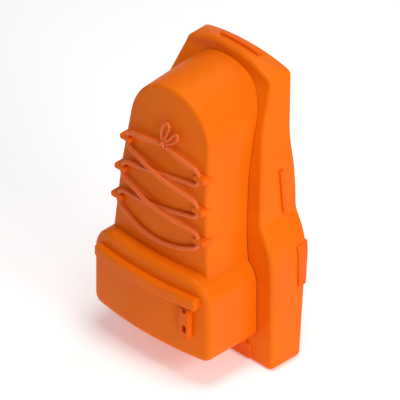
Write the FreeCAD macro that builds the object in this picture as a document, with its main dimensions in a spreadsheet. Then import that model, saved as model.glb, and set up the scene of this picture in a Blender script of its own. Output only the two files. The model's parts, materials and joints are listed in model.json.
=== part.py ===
"""Hiking backpack: moulded shells, a laced front cover, a zipped front pocket and a harness.

Millimetres. +X is the right-hand side for somebody who looks at the front cover, +Y is towards the
wearer's back, +Z is up.
Y = 0 is the front plane of the hip flange, Z = 0 is the foot, and X = 0 is the plane of symmetry.
"""
import FreeCAD, Part
import math
import os

import Sketcher

Vector = FreeCAD.Vector
Rotation = FreeCAD.Rotation
Placement = FreeCAD.Placement

DIMENSIONS = [
    # outline of the rear shell, seen from the front: half widths and heights of its corners
    ("pack_height", 558),
    ("hip_half", 175),
    ("hip_top", 240),
    ("waist_half", 145),
    ("waist_height", 287),
    ("chest_half", 136),
    ("chest_height", 377),
    ("shoulder_half", 101),
    ("shoulder_height", 532),
    ("shoulder_round", 14),
    # the lid that cuts the crown down towards the back
    ("lid_height", 559.2),
    ("lid_half", 46),
    ("lid_slope", 0.196),
    ("lid_fall", 0.42),
    ("crown_half", 44),
    ("foot_round", 14),
    ("ridge_round", 8),
    ("back_round", 7),
    ("wall", 3),
    # front and back lines of the rear shell, seen from the side
    ("front_knee_z", 258),
    ("front_chest_y", 14),
    ("front_chest_z", 373),
    ("front_neck_y", 33),
    ("front_neck_z", 449),
    ("front_brow_y", 70),
    ("front_brow_z", 524),
    ("front_top_y", 74),
    ("back_foot_y", 68),
    ("back_waist_y", 94),
    ("back_waist_z", 330),
    ("back_chest_y", 95),
    ("back_chest_z", 422),
    ("back_top_y", 125),
    ("back_top_z", 541),
    # front cover: an arch above a pocket, both crowned about upright axes
    ("arch_foot_half", 122),
    ("arch_foot_z", 165),
    ("arch_top_half", 91.4),
    ("arch_top_z", 537),
    ("arch_round", 97),
    ("arch_draft", 2.5),
    ("arch_edge_round", 8),
    ("arch_knee_y", 94),
    ("arch_knee_z", 348),
    ("crown_radius", 688),
    ("pocket_half", 138.5),
    ("pocket_foot_z", 54),
    ("pocket_top_z", 217),
    ("pocket_front_y", 129),
    ("pocket_shoulder_round", 50),
    ("pocket_edge_round", 12),
    ("cover_gap", 1.5),
    ("cover_wall", 3),
    ("mouth_inset", 10),
    ("liner_y", 12),
    # storm flap, zip and pull on the pocket; their angles are turned about the pocket's crown axis
    ("flap_angle", 9.9),
    ("flap_depth", 15),
    ("flap_skin", 3.5),
    ("flap_foot_z", 165),
    ("flap_top_z", 187),
    ("zip_z", 175),
    ("zip_rest_angle", 8),
    ("pull_width", 21),
    ("pull_foot_z", 99),
    ("pull_axis_z", 157.5),
    ("pull_thickness", 13),
    ("pull_pin_radius", 1.6),
    # lacing
    ("cord_diameter", 7.6),
    ("anchor_width", 26),
    ("anchor_height", 11),
    ("anchor_rise", 12),
    ("anchor_bore", 4.2),
    # bottom hinge of the front cover
    ("hinge_y", -8),
    ("hinge_z", 45),
    ("hinge_half", 112),
    ("leaf_half", 124),
    ("knuckle_radius", 5),
    ("hinge_pin_radius", 2.2),
    ("pin_clearance", 0.08),
    ("side_gap", 0.4),
    # grab handles that pull out of the shell
    ("grip_width", 10),
    ("grip_thickness", 5),
    ("leg_length", 34),
    ("leg_radius", 3),
    ("top_grip_half", 46),
    ("top_grip_y", 100),
    ("side_grip_half", 40),
    ("side_grip_y", 59),
    ("side_grip_z", 334),
    # harness
    ("pad_thickness", 12),
    ("strap_inner_x", 30),
    ("strap_width", 46),
    ("strap_rear_y", 144),
    ("strap_thickness", 12),
    ("strap_foot_z", 300),
    ("strap_axis_y", 128),
    ("strap_axis_z", 508),
    ("strap_pin_radius", 3),
    ("strap_head_radius", 5.5),
    ("rail_x", 26.5),
    ("rail_radius", 1.5),
    ("belt_foot_z", 150),
    ("belt_top_z", 231),
    ("belt_skin", 3),
    ("belt_axis_x", 136),
    ("belt_axis_y", 102),
    ("belt_pin_radius", 2.5),
    ("wing_thickness", 10),
    ("wing_tip_x", 30),
]

document = FreeCAD.newDocument("hiking_backpack")
sheet = document.addObject("Spreadsheet::Sheet", "dims")
for row, (alias, number) in enumerate(DIMENSIONS, start=1):
    sheet.set(f"A{row}", alias)
    sheet.set(f"B{row}", str(number))
    sheet.setAlias(f"B{row}", alias)
document.recompute()

nodes = []


def value(expression):
    """The number that an expression over the sheet comes to."""
    return float(sheet.evalExpression(str(expression)))


def publish(piece, label):
    """Names a finished sub-part and puts it on the list of nodes."""
    piece.Label = label
    nodes.append(piece)
    return piece


def bind(piece, **expressions):
    """Ties properties of an object to expressions over the sheet."""
    for name, expression in expressions.items():
        piece.setExpression(name, str(expression))


# ---------------------------------------------------------------- sketches

PLANES = {
    "XY": Rotation(0, 0, 0),
    "XZ": Rotation(Vector(1, 0, 0), 90),
    "YZ": Rotation(Vector(1, 1, 1), 120),
}


def draw_outline(sketch, corners):
    """Closed outline through corners (x, y, radius), each held by its own dimensions and rounded off."""
    points = [(value(x), value(y)) for x, y, _ in corners]
    count = len(points)
    for index, point in enumerate(points):
        following = points[(index + 1) % count]
        sketch.addGeometry(Part.LineSegment(Vector(*point, 0), Vector(*following, 0)), False)
    for index in range(count):
        sketch.addConstraint(Sketcher.Constraint("Coincident", index, 2, (index + 1) % count, 1))
    for index, (x, y, _) in enumerate(corners):
        placed = (("DistanceX", x, points[index][0]), ("DistanceY", y, points[index][1]))
        for kind, expression, number in placed:
            name = f"{kind[-1].lower()}_{index}"
            place = sketch.addConstraint(Sketcher.Constraint(kind, -1, 1, index, 1, number))
            sketch.renameConstraint(place, name)
            sketch.setExpression(f"Constraints.{name}", str(expression))
    for index, (_, _, radius) in enumerate(corners):
        if radius is None:
            continue
        before = points[index - 1]
        after = points[(index + 1) % count]
        here = points[index]
        near_before = Vector(here[0] * 0.95 + before[0] * 0.05, here[1] * 0.95 + before[1] * 0.05, 0)
        near_after = Vector(here[0] * 0.95 + after[0] * 0.05, here[1] * 0.95 + after[1] * 0.05, 0)
        arc = sketch.GeometryCount
        sketch.fillet((index - 1) % count, index, near_before, near_after, value(radius), True, True)
        place = sketch.addConstraint(Sketcher.Constraint("Radius", arc, value(radius)))
        name = f"round_{index}"
        sketch.renameConstraint(place, name)
        sketch.setExpression(f"Constraints.{name}", str(radius))


def free_sketch(name, plane, corners):
    """A sketch outside any body, on one of the three main planes."""
    sketch = document.addObject("Sketcher::SketchObject", name)
    sketch.Placement = Placement(Vector(), PLANES[plane])
    draw_outline(sketch, corners)
    return sketch


def body_sketch(body, name, plane, corners, offset="0"):
    """A sketch on an origin plane of its body, moved along the plane's normal by an offset."""
    sketch = body.newObject("Sketcher::SketchObject", name)
    support = [f for f in body.Origin.OriginFeatures if f.Role == f"{plane}_Plane"][0]
    sketch.AttachmentSupport = [(support, "")]
    sketch.MapMode = "FlatFace"
    sketch.setExpression("AttachmentOffset.Base.z", str(offset))
    draw_outline(sketch, corners)
    return sketch


def mirrored(half):
    """A symmetric outline from the corners of its right half, listed from the foot up."""
    left = [(f"-({x})", y, radius) for x, y, radius in reversed(half)]
    return half + left


def rectangle(low_x, low_y, high_x, high_y, radius=None):
    """Corners of a rectangle with one corner radius."""
    return [
        (low_x, low_y, radius),
        (high_x, low_y, radius),
        (high_x, high_y, radius),
        (low_x, high_y, radius),
    ]


# ---------------------------------------------------------------- solids

def prism(name, base, forward, backward="0", taper=0):
    """A solid pushed out of a flat outline along its normal, both ways."""
    solid = document.addObject("Part::Extrusion", name)
    solid.Base = base
    solid.DirMode = "Normal"
    solid.Solid = True
    solid.TaperAngle = taper
    bind(solid, LengthFwd=forward, LengthRev=backward)
    return solid


def inset(name, sketch, distance):
    """The outline of a sketch moved in or out by a distance."""
    outline = document.addObject("Part::Offset2D", name)
    outline.Source = sketch
    outline.Join = "Arc"
    bind(outline, Value=distance)
    return outline


def turned(name, base, axis_y, half_angle):
    """A solid turned both ways about an upright axis at X = 0."""
    solid = document.addObject("Part::Revolution", name)
    solid.Source = base
    solid.Axis = Vector(0, 0, 1)
    solid.Base = Vector(0, value(axis_y), 0)
    solid.Symmetric = True
    solid.Solid = True
    bind(solid, Angle=f"2 * ({half_angle})")
    solid.setExpression("Base.y", str(axis_y))
    return solid


def common(name, *shapes):
    """What several solids share."""
    solid = document.addObject("Part::MultiCommon", name)
    solid.Shapes = list(shapes)
    return solid


def fuse(name, *shapes):
    """Several solids as one."""
    solid = document.addObject("Part::MultiFuse", name)
    solid.Shapes = list(shapes)
    solid.Refine = True
    return solid


def cut(name, base, tool):
    """One solid less another."""
    solid = document.addObject("Part::Cut", name)
    solid.Base = base
    solid.Tool = tool
    return solid


def group(name, *shapes):
    """Separate solids kept together in one node."""
    pieces = document.addObject("Part::Compound", name)
    pieces.Links = list(shapes)
    return pieces


def mirror(name, source):
    """The other side's twin of a piece."""
    twin = document.addObject("Part::Mirroring", name)
    twin.Source = source
    twin.Base = Vector(0, 0, 0)
    twin.Normal = Vector(1, 0, 0)
    return twin


def box(name, low, high):
    """A block between two corners given as expressions."""
    block = document.addObject("Part::Box", name)
    for size, first, last in zip(("Length", "Width", "Height"), low, high):
        block.setExpression(size, f"({last}) - ({first})")
    for axis, first in zip("xyz", low):
        block.setExpression(f"Placement.Base.{axis}", str(first))
    return block


def rod(name, radius, length, place, turn=None):
    """A round bar from a place; along +Z unless it is turned."""
    bar = document.addObject("Part::Cylinder", name)
    bar.Placement = Placement(Vector(), turn or Rotation())
    bind(bar, Radius=radius, Height=length)
    for axis, coordinate in zip("xyz", place):
        bar.setExpression(f"Placement.Base.{axis}", str(coordinate))
    return bar


ALONG_X = Rotation(Vector(0, 1, 0), 90)


def sharp_edges(shape, pick=lambda middle: True, least_turn=20):
    """Numbers of the edges where two faces meet at an angle, as fillets count them."""
    found = []
    for number, edge in enumerate(shape.Edges, start=1):
        faces = shape.ancestorsOfType(edge, Part.Face)
        if len(faces) != 2:
            continue
        middle = edge.valueAt((edge.FirstParameter + edge.LastParameter) / 2)
        normals = []
        for face in faces:
            u, v = face.Surface.parameter(middle)
            normals.append(face.normalAt(u, v))
        turn = math.degrees(normals[0].getAngle(normals[1]))
        if turn > least_turn and pick(middle):
            found.append(number)
    return found


def rounded(name, base, radius, pick=lambda middle: True):
    """A solid with its sharp edges rounded, or those of them that pick accepts."""
    document.recompute()
    solid = document.addObject("Part::Fillet", name)
    solid.Base = base
    size = value(radius)
    solid.Edges = [(number, size, size) for number in sharp_edges(base.Shape, pick)]
    return solid


def plate(label, plane, corners, start, thickness, round_off=None):
    """A flat piece as a body of its own: an outline, a pad and, where asked, rounded rims."""
    body = document.addObject("PartDesign::Body", label + "_body")
    sketch = body_sketch(body, label + "_outline", plane, corners, start)
    pad = body.newObject("PartDesign::Pad", label + "_pad")
    pad.Profile = sketch
    pad.Length = value(thickness)
    bind(pad, Length=thickness)
    if round_off is not None:
        document.recompute()
        edges = [f"Edge{number}" for number in sharp_edges(pad.Shape)]
        blend = body.newObject("PartDesign::Fillet", label + "_round")
        blend.Base = (pad, edges)
        blend.Radius = value(round_off)
        bind(blend, Radius=round_off)
    return body


# ---------------------------------------------------------------- shared lines of the rear shell

def front_line(shift, low="-20", high="dims.pack_height"):
    """The front of the rear shell from the foot up, moved towards +Y by a shift."""
    top_slope = "(dims.front_top_y - dims.front_brow_y) / (dims.pack_height + 40 - dims.front_brow_z)"
    return [
        (f"{shift}", low, None),
        (f"{shift}", "dims.front_knee_z", "260"),
        (f"dims.front_chest_y + {shift}", "dims.front_chest_z", "300"),
        (f"dims.front_neck_y + {shift}", "dims.front_neck_z", "180"),
        (f"dims.front_brow_y + {shift}", "dims.front_brow_z", "40"),
        (f"dims.front_brow_y + {top_slope} * ({high} - dims.front_brow_z) + {shift}", high, None),
    ]


def back_y(height):
    """Depth of the back of the rear shell at a height, as an expression."""
    foot_slope = "(dims.back_waist_y - dims.back_foot_y) / dims.back_waist_z"
    waist_slope = "(dims.back_chest_y - dims.back_waist_y) / (dims.back_chest_z - dims.back_waist_z)"
    top_slope = "(dims.back_top_y - dims.back_chest_y) / (dims.back_top_z - dims.back_chest_z)"
    if value(height) < value("dims.back_waist_z"):
        return f"dims.back_foot_y + {foot_slope} * ({height})"
    if value(height) < value("dims.back_chest_z"):
        return f"dims.back_waist_y + {waist_slope} * (({height}) - dims.back_waist_z)"
    return f"dims.back_chest_y + {top_slope} * (({height}) - dims.back_chest_z)"


def back_line(shift, low="-20", high="dims.back_top_z"):
    """The back of the rear shell between two heights, from below, moved towards +Y by a shift."""
    line = [(f"{back_y(low)} + {shift}", low, None)]
    for name, radius in (("waist", "400"), ("chest", "200")):
        height = f"dims.back_{name}_z"
        if value(low) < value(height) < value(high):
            line.append((f"dims.back_{name}_y + {shift}", height, radius))
    line.append((f"{back_y(high)} + {shift}", high, None))
    return line


def front_band(name, near, far):
    """A layer along the front line, between two shifts, as wide as the pack."""
    corners = front_line(near) + list(reversed(front_line(far)))
    return prism(name, free_sketch(name + "_line", "YZ", corners), "dims.hip_half", "dims.hip_half")


def back_layer(name, near, far, low_x, high_x, low_z, high_z):
    """A layer on the back line between two shifts, between two X and two heights."""
    corners = back_line(near, low_z, high_z) + list(reversed(back_line(far, low_z, high_z)))
    return prism(name, free_sketch(name + "_line", "YZ", corners), high_x, f"-({low_x})")


# ---------------------------------------------------------------- rear shell and what it holds

SHOULDER_SLOPE = "(dims.chest_half - dims.shoulder_half) / (dims.shoulder_height - dims.chest_height)"


def rear_outline(name):
    """The sides of the rear shell, seen from the front; the crown cuts them off at the top."""
    half = [
        ("dims.hip_half", "0", "dims.foot_round"),
        ("dims.hip_half", "dims.hip_top", "120"),
        ("dims.waist_half", "dims.waist_height", "40"),
        ("dims.chest_half", "dims.chest_height", "260"),
        (f"dims.shoulder_half - {SHOULDER_SLOPE} * 60", "dims.shoulder_height + 60", None),
    ]
    return free_sketch(name, "XZ", mirrored(half))


def crown_outline(name):
    """The arched top of the rear shell as it is seen from the front."""
    shoulder_slope = "(dims.pack_height - dims.shoulder_height) / (dims.shoulder_half - dims.crown_half)"
    half = [
        ("dims.hip_half + 20", "-100", None),
        ("dims.hip_half + 20",
         f"dims.shoulder_height - {shoulder_slope} * (dims.hip_half + 20 - dims.shoulder_half)", None),
        ("dims.crown_half", "dims.pack_height", "150"),
    ]
    return free_sketch(name, "XZ", mirrored(half))


def lid_outline(name):
    """The flatter arch of the lid at the front top edge; it falls away towards the back."""
    half = [
        ("dims.hip_half + 20", "-100", None),
        ("dims.hip_half + 20", "dims.lid_height - dims.lid_slope * (dims.hip_half + 20 - dims.lid_half)", None),
        ("dims.lid_half", "dims.lid_height", "420"),
    ]
    return free_sketch(name, "XZ", mirrored(half))


def rear_profile(name):
    """The rear shell seen from the side, left open above for the crown."""
    front = front_line("0", "0", "dims.pack_height + 40")
    back = back_line("0", "0", "dims.pack_height + 40")[::-1]
    return free_sketch(name, "YZ", front + back)


def cover_outlines():
    """The arch and the pocket of the front cover, seen from the front."""
    arch = [
        ("dims.arch_foot_half", "dims.arch_foot_z", None),
        ("dims.arch_top_half", "dims.arch_top_z", "dims.arch_round"),
    ]
    pocket = [
        ("dims.pocket_half", "dims.pocket_foot_z", "20"),
        ("dims.pocket_half", "dims.pocket_top_z", "dims.pocket_shoulder_round"),
    ]
    return (
        free_sketch("arch_outline", "XZ", mirrored(arch)),
        free_sketch("pocket_outline", "XZ", mirrored(pocket)),
    )


def falling(name, outline):
    """A solid swept from the front top edge back along the fall of the lid, and forward the same way."""
    solid = prism(name, outline, "160", "160")
    solid.DirMode = "Custom"
    solid.Dir = Vector(0, 1, -value("dims.lid_fall"))
    solid.setExpression("Placement.Base.z", "dims.front_top_y * dims.lid_fall")
    return solid


def at_shoulder(place):
    """True on the two edges where the sides meet the falling shoulders, clear of the front and back rims."""
    inside = value("dims.front_brow_y") + 8 < place.y < value("dims.back_top_y") - 8
    beside = abs(place.x) > value("dims.crown_half") + 30
    return inside and beside and place.z > value("dims.shoulder_height") - 30


def near_front(place):
    """True on the front rim, which leans back with the front line."""
    lean = max(0, (place.z - value("dims.front_knee_z")) * 0.27)
    return place.y < 12 + lean


def near_back(place):
    """True on the back rim."""
    return place.y > value("dims.back_foot_y") - 2 and not near_front(place)


def make_rear_shell(arch, pocket):
    outline = rear_outline("rear_outline")
    profile = rear_profile("rear_profile")
    crown = crown_outline("crown_outline")
    across = prism("rear_across", profile, "dims.hip_half + 10", "dims.hip_half + 10")
    along = prism("rear_along", outline, "20", "160")
    lid = lid_outline("lid_outline")
    square_block = common("rear_square_block", along, across, prism("rear_crown", crown, "20", "160"))
    block = rounded("rear_block", square_block, "dims.shoulder_round", at_shoulder)
    front_rounded = rounded("rear_front_round", block, "dims.ridge_round", near_front)
    back_rounded = rounded("rear_back_round", front_rounded, "dims.back_round", near_back)
    outer = common("rear_outer", back_rounded, falling("rear_lid", lid))
    room_along = prism("room_along", inset("room_outline", outline, "-dims.wall"), "20", "160")
    room_across = prism("room_across", inset("room_profile", profile, "-dims.wall"),
                        "dims.hip_half", "dims.hip_half")
    room_top = prism("room_crown", inset("room_top", crown, "-dims.wall"), "20", "160")
    square_room = common("square_room", room_along, room_across, room_top)
    soft_room = rounded("soft_room", square_room, "dims.shoulder_round - dims.wall", at_shoulder)
    room = common("room", soft_room, falling("room_lid", inset("room_lid_line", lid, "-dims.wall - 0.3")))
    arch_mouth = prism("arch_mouth", inset("arch_mouth_line", arch, "-dims.mouth_inset"), "20", "100")
    pocket_mouth = prism("pocket_mouth", inset("pocket_mouth_line", pocket, "-dims.mouth_inset"), "20", "100")
    mouth = common("mouth", fuse("mouth_block", arch_mouth, pocket_mouth),
                   front_band("mouth_band", "-8", "dims.wall + 4"))
    shell = cut("rear_hollow", outer, fuse("rear_void", room, mouth))
    return shell


def make_rear_shell_with_holes(arch, pocket):
    """The rear shell, drilled for the legs of the three grab handles."""
    hollow = make_rear_shell(arch, pocket)
    holes = []
    for frame, half in GRIPS:
        for end in (-1, 1):
            holes.append(frame_rod(f"leg_hole_{len(holes)}", frame, f"{end} * {leg_offset(half)}",
                                   "dims.leg_radius + 0.4", "-12", "24"))
    return cut("rear_drilled", hollow, group("leg_holes", *holes))


def leg_offset(half):
    """How far a handle's leg stands from the middle of its grip."""
    return f"(dims.{half} - 8)"


def crown_height(depth):
    """Height of the top of the shell at X = 0 and a given Y."""
    return value("dims.lid_height") - value("dims.lid_fall") * (depth - value("dims.front_top_y"))


def side_wall_x(height):
    """Half width of the flat side wall between hip and chest."""
    slope = (value("dims.waist_half") - value("dims.chest_half")) / (
        value("dims.chest_height") - value("dims.waist_height"))
    return value("dims.waist_half") - slope * (height - value("dims.waist_height")), slope


def grip_frames():
    """Places of the handles: local X along the grip, local Y across it, local Z out of the shell."""
    depth = value("dims.top_grip_y")
    fall = math.degrees(math.atan(value("dims.lid_fall")))
    top = Placement(Vector(0, depth, crown_height(depth)), Rotation(Vector(1, 0, 0), -fall))
    height = value("dims.side_grip_z")
    wall_x, slope = side_wall_x(height)
    lean = math.degrees(math.atan(slope))
    upright = Rotation(Vector(0, 1, 0), 90 - lean)
    right = Placement(Vector(wall_x, value("dims.side_grip_y"), height), upright)
    left = Placement(Vector(-wall_x, value("dims.side_grip_y"), height), Rotation(Vector(0, 1, 0), lean - 90))
    return [(top, "top_grip_half"), (left, "side_grip_half"), (right, "side_grip_half")]


def frame_rod(name, frame, along, radius, start, length):
    """A round bar that stands on a handle's frame, at a distance along its grip."""
    bar = document.addObject("Part::Cylinder", name)
    bind(bar, Radius=radius, Height=length)
    local = Placement(Vector(value(along), 0, value(start)), Rotation())
    bar.Placement = frame.multiply(local)
    return bar


def make_handle(name, frame, half):
    """A bowed grip on two legs; heads inside the shell stop it when it is pulled out."""
    sag = value(f"dims.{half}") ** 2 / 1160 if half == "top_grip_half" else 0
    lift = 0.3
    outline = [
        (f"-dims.{half}", f"{lift - sag}", None),
        (f"-dims.{half} * 0.45", f"{lift + sag * 0.02}", "120" if sag else None),
        (f"dims.{half} * 0.45", f"{lift + sag * 0.02}", "120" if sag else None),
        (f"dims.{half}", f"{lift - sag}", None),
        (f"dims.{half}", f"{lift - sag} + dims.grip_thickness", None),
        (f"dims.{half} * 0.45", f"{lift + sag * 0.02} + dims.grip_thickness", "120" if sag else None),
        (f"-dims.{half} * 0.45", f"{lift + sag * 0.02} + dims.grip_thickness", "120" if sag else None),
        (f"-dims.{half}", f"{lift - sag} + dims.grip_thickness", None),
    ]
    if not sag:
        outline = rectangle(f"-dims.{half}", f"{lift}", f"dims.{half}", f"{lift} + dims.grip_thickness")
    bar = prism(name + "_bar", free_sketch(name + "_bow", "XZ", outline), "dims.grip_width / 2",
                "dims.grip_width / 2")
    grip = rounded(name + "_grip", bar, "1.6", lambda middle: middle.z > lift - sag + 1.5)
    grip.Placement = frame
    pieces = [grip]
    for end in (-1, 1):
        along = f"{end} * {leg_offset(half)}"
        pieces.append(frame_rod(f"{name}_leg_{end + 1}", frame, along, "dims.leg_radius", "-dims.leg_length",
                                f"dims.leg_length + {lift + 1.5 - sag * 0.7}"))
        pieces.append(frame_rod(f"{name}_head_{end + 1}", frame, along, "dims.leg_radius + 2.5",
                                "-dims.leg_length", "3"))
    return fuse(name + "_fused", *pieces)


def make_sockets(name, frame, half):
    """Guide rings glued inside the shell around a handle's legs."""
    rings = []
    sag = value(f"dims.{half}") ** 2 / 1160 if half == "top_grip_half" else 0
    start = f"-dims.wall - {4.8 + sag}"
    for end in (-1, 1):
        along = f"{end} * {leg_offset(half)}"
        sleeve = frame_rod(f"{name}_sleeve_{end + 1}", frame, along, "dims.leg_radius + 5", start, "4")
        bore = frame_rod(f"{name}_bore_{end + 1}", frame, along, "dims.leg_radius + 0.4", start + " - 1", "6")
        rings.append(cut(f"{name}_ring_{end + 1}", sleeve, bore))
    return group(name + "_rings", *rings)


def make_seal(arch, pocket):
    """A flat lip seal between the flange and the rim of the cover."""
    block = fuse("seal_block", prism("seal_arch", inset("seal_arch_line", arch, "-0.5"), "20", "100"),
                 prism("seal_pocket", inset("seal_pocket_line", pocket, "-0.5"), "20", "100"))
    room = fuse("seal_room", prism("seal_arch_room", inset("seal_arch_in", arch, "-6.5"), "20", "100"),
                prism("seal_pocket_room", inset("seal_pocket_in", pocket, "-6.5"), "20", "100"))
    return common("seal", cut("seal_ring", block, room), front_band("seal_band", "-1.2", "0"))


# ---------------------------------------------------------------- front cover

def arch_profile(name):
    """The arch seen from the side at X = 0."""
    return free_sketch(name, "YZ", [
        ("120", "dims.arch_foot_z", None),
        ("-dims.arch_knee_y - 12.4", "dims.arch_foot_z", None),
        ("-dims.arch_knee_y", "dims.arch_knee_z", "600"),
        ("-dims.arch_knee_y + 32", "dims.arch_knee_z + 211", None),
        ("120", "dims.arch_knee_z + 211", None),
    ])


def pocket_profile(name):
    """The pocket seen from the side at X = 0."""
    return free_sketch(name, "YZ", rectangle("-dims.pocket_front_y", "dims.pocket_foot_z - 10", "60",
                                             "dims.pocket_top_z + 20"))


ARCH_AXIS = "dims.crown_radius - dims.arch_knee_y"
POCKET_AXIS = "dims.crown_radius - dims.pocket_front_y"


def drafted(name, outline):
    """The arch pushed out both ways, wider towards the back by the draft."""
    solid = prism(name, outline, "130", "130")
    bind(solid, TaperAngle="-dims.arch_draft", TaperAngleRev="dims.arch_draft")
    return solid


def make_cover_outer(arch, pocket):
    """The whole outside of the front cover as one solid, cut off at its rim."""
    arch_block = common("arch_block", drafted("arch_push", arch),
                        turned("arch_crown", arch_profile("arch_profile"), ARCH_AXIS, "20"))
    arch_solid = rounded("arch_solid", arch_block, "dims.arch_edge_round",
                         lambda middle: middle.y < -40 and middle.z > value("dims.arch_foot_z") + 2)
    pocket_block = common("pocket_block", prism("pocket_push", pocket, "150", "60"),
                          turned("pocket_crown", pocket_profile("pocket_profile"), POCKET_AXIS, "20"))
    pocket_solid = rounded("pocket_solid", pocket_block, "dims.pocket_edge_round",
                           lambda middle: middle.y < -100)
    behind = front_line("-dims.cover_gap", "-20", "700") + [("300", "700", None), ("300", "-20", None)]
    trim = prism("cover_trim", free_sketch("cover_trim_line", "YZ", behind), "dims.hip_half", "dims.hip_half")
    return cut("cover_outer", fuse("cover_block", arch_solid, pocket_solid), trim)


def make_front_shell(outer, arch, pocket):
    """The cover's moulded shell, open at the back, with the slot for the pocket zip."""
    arch_line = inset("arch_profile_in", document.arch_profile, "-dims.cover_wall")
    pocket_line = inset("pocket_profile_in", document.pocket_profile, "-dims.cover_wall")
    pocket_push = prism("pocket_room_push", inset("pocket_in", pocket, "-dims.cover_wall"), "150", "60")
    room_arch = common("cover_room_arch",
                       drafted("arch_room_push", inset("arch_in", arch, "-dims.cover_wall")),
                       turned("arch_room_crown", arch_line, ARCH_AXIS, "20"))
    square_pocket = common("cover_room_pocket", pocket_push,
                           turned("pocket_room_crown", pocket_line, POCKET_AXIS, "20"))
    room_pocket = rounded("cover_room_soft", square_pocket, "dims.pocket_edge_round - dims.cover_wall",
                          lambda middle: middle.y < -100)
    slot = turned("zip_slot", free_sketch("zip_slot_line", "YZ", rectangle(
        "-dims.pocket_front_y - 4", "dims.zip_z - 5", "-dims.pocket_front_y + 8", "dims.zip_z + 5")),
        POCKET_AXIS, "dims.flap_angle - 0.6")
    return cut("front_hollow", outer, fuse("cover_void", room_arch, room_pocket, slot))


def make_pocket_liner(pocket):
    """The panel and shelf that part the pocket from the main room."""
    panel = prism("liner_panel", inset("liner_line", pocket, "-dims.cover_wall - 0.3"), "dims.liner_y + 2",
                  "-dims.liner_y")
    shelf = box("liner_shelf", ("-91", "-96", "dims.pocket_top_z - 5.3"),
                ("91", "-dims.liner_y - 1", "dims.pocket_top_z - 3.3"))
    return fuse("liner", panel, shelf)


def crowned_strip(name, front, back, low, high, angle):
    """A strip bent along the pocket's crown; front and back are depths in front of the pocket's face."""
    line = free_sketch(name + "_line", "YZ", rectangle(
        f"-dims.pocket_front_y - ({front})", low, f"-dims.pocket_front_y - ({back})", high))
    return turned(name, line, POCKET_AXIS, angle)


def make_storm_flap():
    """A hood over the zip, closed at both ends and open below."""
    axis_y = value(POCKET_AXIS)
    blank = crowned_strip("flap_blank", "dims.flap_depth", "0.15", "dims.flap_foot_z", "dims.flap_top_z",
                          "dims.flap_angle")
    hood = rounded("flap_hood", blank, "4.5",
                   lambda middle: math.hypot(middle.x, middle.y - axis_y) > value("dims.crown_radius") + 3)
    room = crowned_strip("flap_room", "dims.flap_depth - dims.flap_skin", "-5", "dims.flap_foot_z - 5",
                         "dims.flap_top_z - dims.flap_skin", "dims.flap_angle - 0.35")
    return cut("flap", hood, room)


def at_zip_rest(piece):
    """Moves a piece made at X = 0 round the pocket's crown to where the closed zip's slider stands."""
    turn = Rotation(Vector(0, 0, 1), value("dims.zip_rest_angle"))
    piece.Placement = Placement(Vector(), turn, Vector(0, value(POCKET_AXIS), 0)).multiply(piece.Placement)
    return piece


def make_zip_slider():
    """The slider's body with a tongue that carries the pull."""
    body = rounded("slider_round", box("slider_block", ("-7", "-dims.pocket_front_y - 9.5", "dims.zip_z - 6"),
                                       ("7", "-dims.pocket_front_y - 1.3", "dims.zip_z + 3.0")), "1.5")
    tongue = box("slider_tongue", ("-3.5", "-dims.pocket_front_y - 9.5", "dims.pull_axis_z"),
                 ("3.5", "-dims.pocket_front_y - 5.5", "dims.zip_z - 4"))
    eye = rod("slider_eye", "3", "7", ("-3.5", "-dims.pocket_front_y - 7.5", "dims.pull_axis_z"), ALONG_X)
    bore = rod("slider_bore", "dims.pull_pin_radius + dims.pin_clearance", "20",
               ("-10", "-dims.pocket_front_y - 7.5", "dims.pull_axis_z"), ALONG_X)
    return at_zip_rest(cut("slider", fuse("slider_fused", body, tongue, eye), bore))


def make_zip_pull():
    """The big tab under the flap, with a slot for a finger loop and a fork at its top."""
    half = "dims.pull_width / 2"
    rim = "dims.pull_thickness / 2"
    tab = document.addObject("PartDesign::Body", "pull_body")
    sketch = body_sketch(tab, "pull_outline", "XZ", [
        (f"-{half}", "dims.pull_foot_z", "5"), (half, "dims.pull_foot_z", "5"),
        (half, "dims.pull_axis_z", None), (f"-{half}", "dims.pull_axis_z", None)],
        "dims.pocket_front_y + 1")
    pad = tab.newObject("PartDesign::Pad", "pull_pad")
    pad.Profile = sketch
    bind(pad, Length="dims.pull_thickness")
    eye = rectangle("-4.5", "dims.pull_foot_z + 14", "4.5", "dims.pull_foot_z + 30", "4.2")
    hole = body_sketch(tab, "pull_hole", "XZ", eye, "dims.pocket_front_y")
    pocket = tab.newObject("PartDesign::Pocket", "pull_pocket")
    pocket.Profile = hole
    pocket.Reversed = True
    bind(pocket, Length="dims.pull_thickness + 4")
    head = rod("pull_head", rim, "dims.pull_width", (f"-{half}", f"-dims.pocket_front_y - 1 - {rim}",
                                                     "dims.pull_axis_z"), ALONG_X)
    fork = box("pull_fork", ("-4", "-dims.pocket_front_y - 30", "dims.pull_axis_z - 3.8"),
               ("4", "-dims.pocket_front_y + 10", "dims.pull_axis_z + 10"))
    soft = rounded("pull_soft", tab, "2.5", lambda middle: middle.z < value("dims.pull_axis_z") - 0.5
                   and (abs(middle.x) > 7 or middle.z < value("dims.pull_foot_z") + 2))
    solid = cut("pull_cut", fuse("pull_fused", soft, head), fork)
    bore = rod("pull_bore", "dims.pull_pin_radius", "30", ("-15", f"-dims.pocket_front_y - 1 - {rim}",
                                                           "dims.pull_axis_z"), ALONG_X)
    return at_zip_rest(cut("pull", solid, bore))


def make_pull_pin():
    """The pin of the pull, held in its fork."""
    pin = rod("pull_pin_rod", "dims.pull_pin_radius", "dims.pull_width - 2",
              ("-dims.pull_width / 2 + 1", "-dims.pocket_front_y - 1 - dims.pull_thickness / 2",
               "dims.pull_axis_z"), ALONG_X)
    return at_zip_rest(group("pull_pin", pin))


# ---------------------------------------------------------------- lacing

ROWS = [403, 343, 284]


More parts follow.
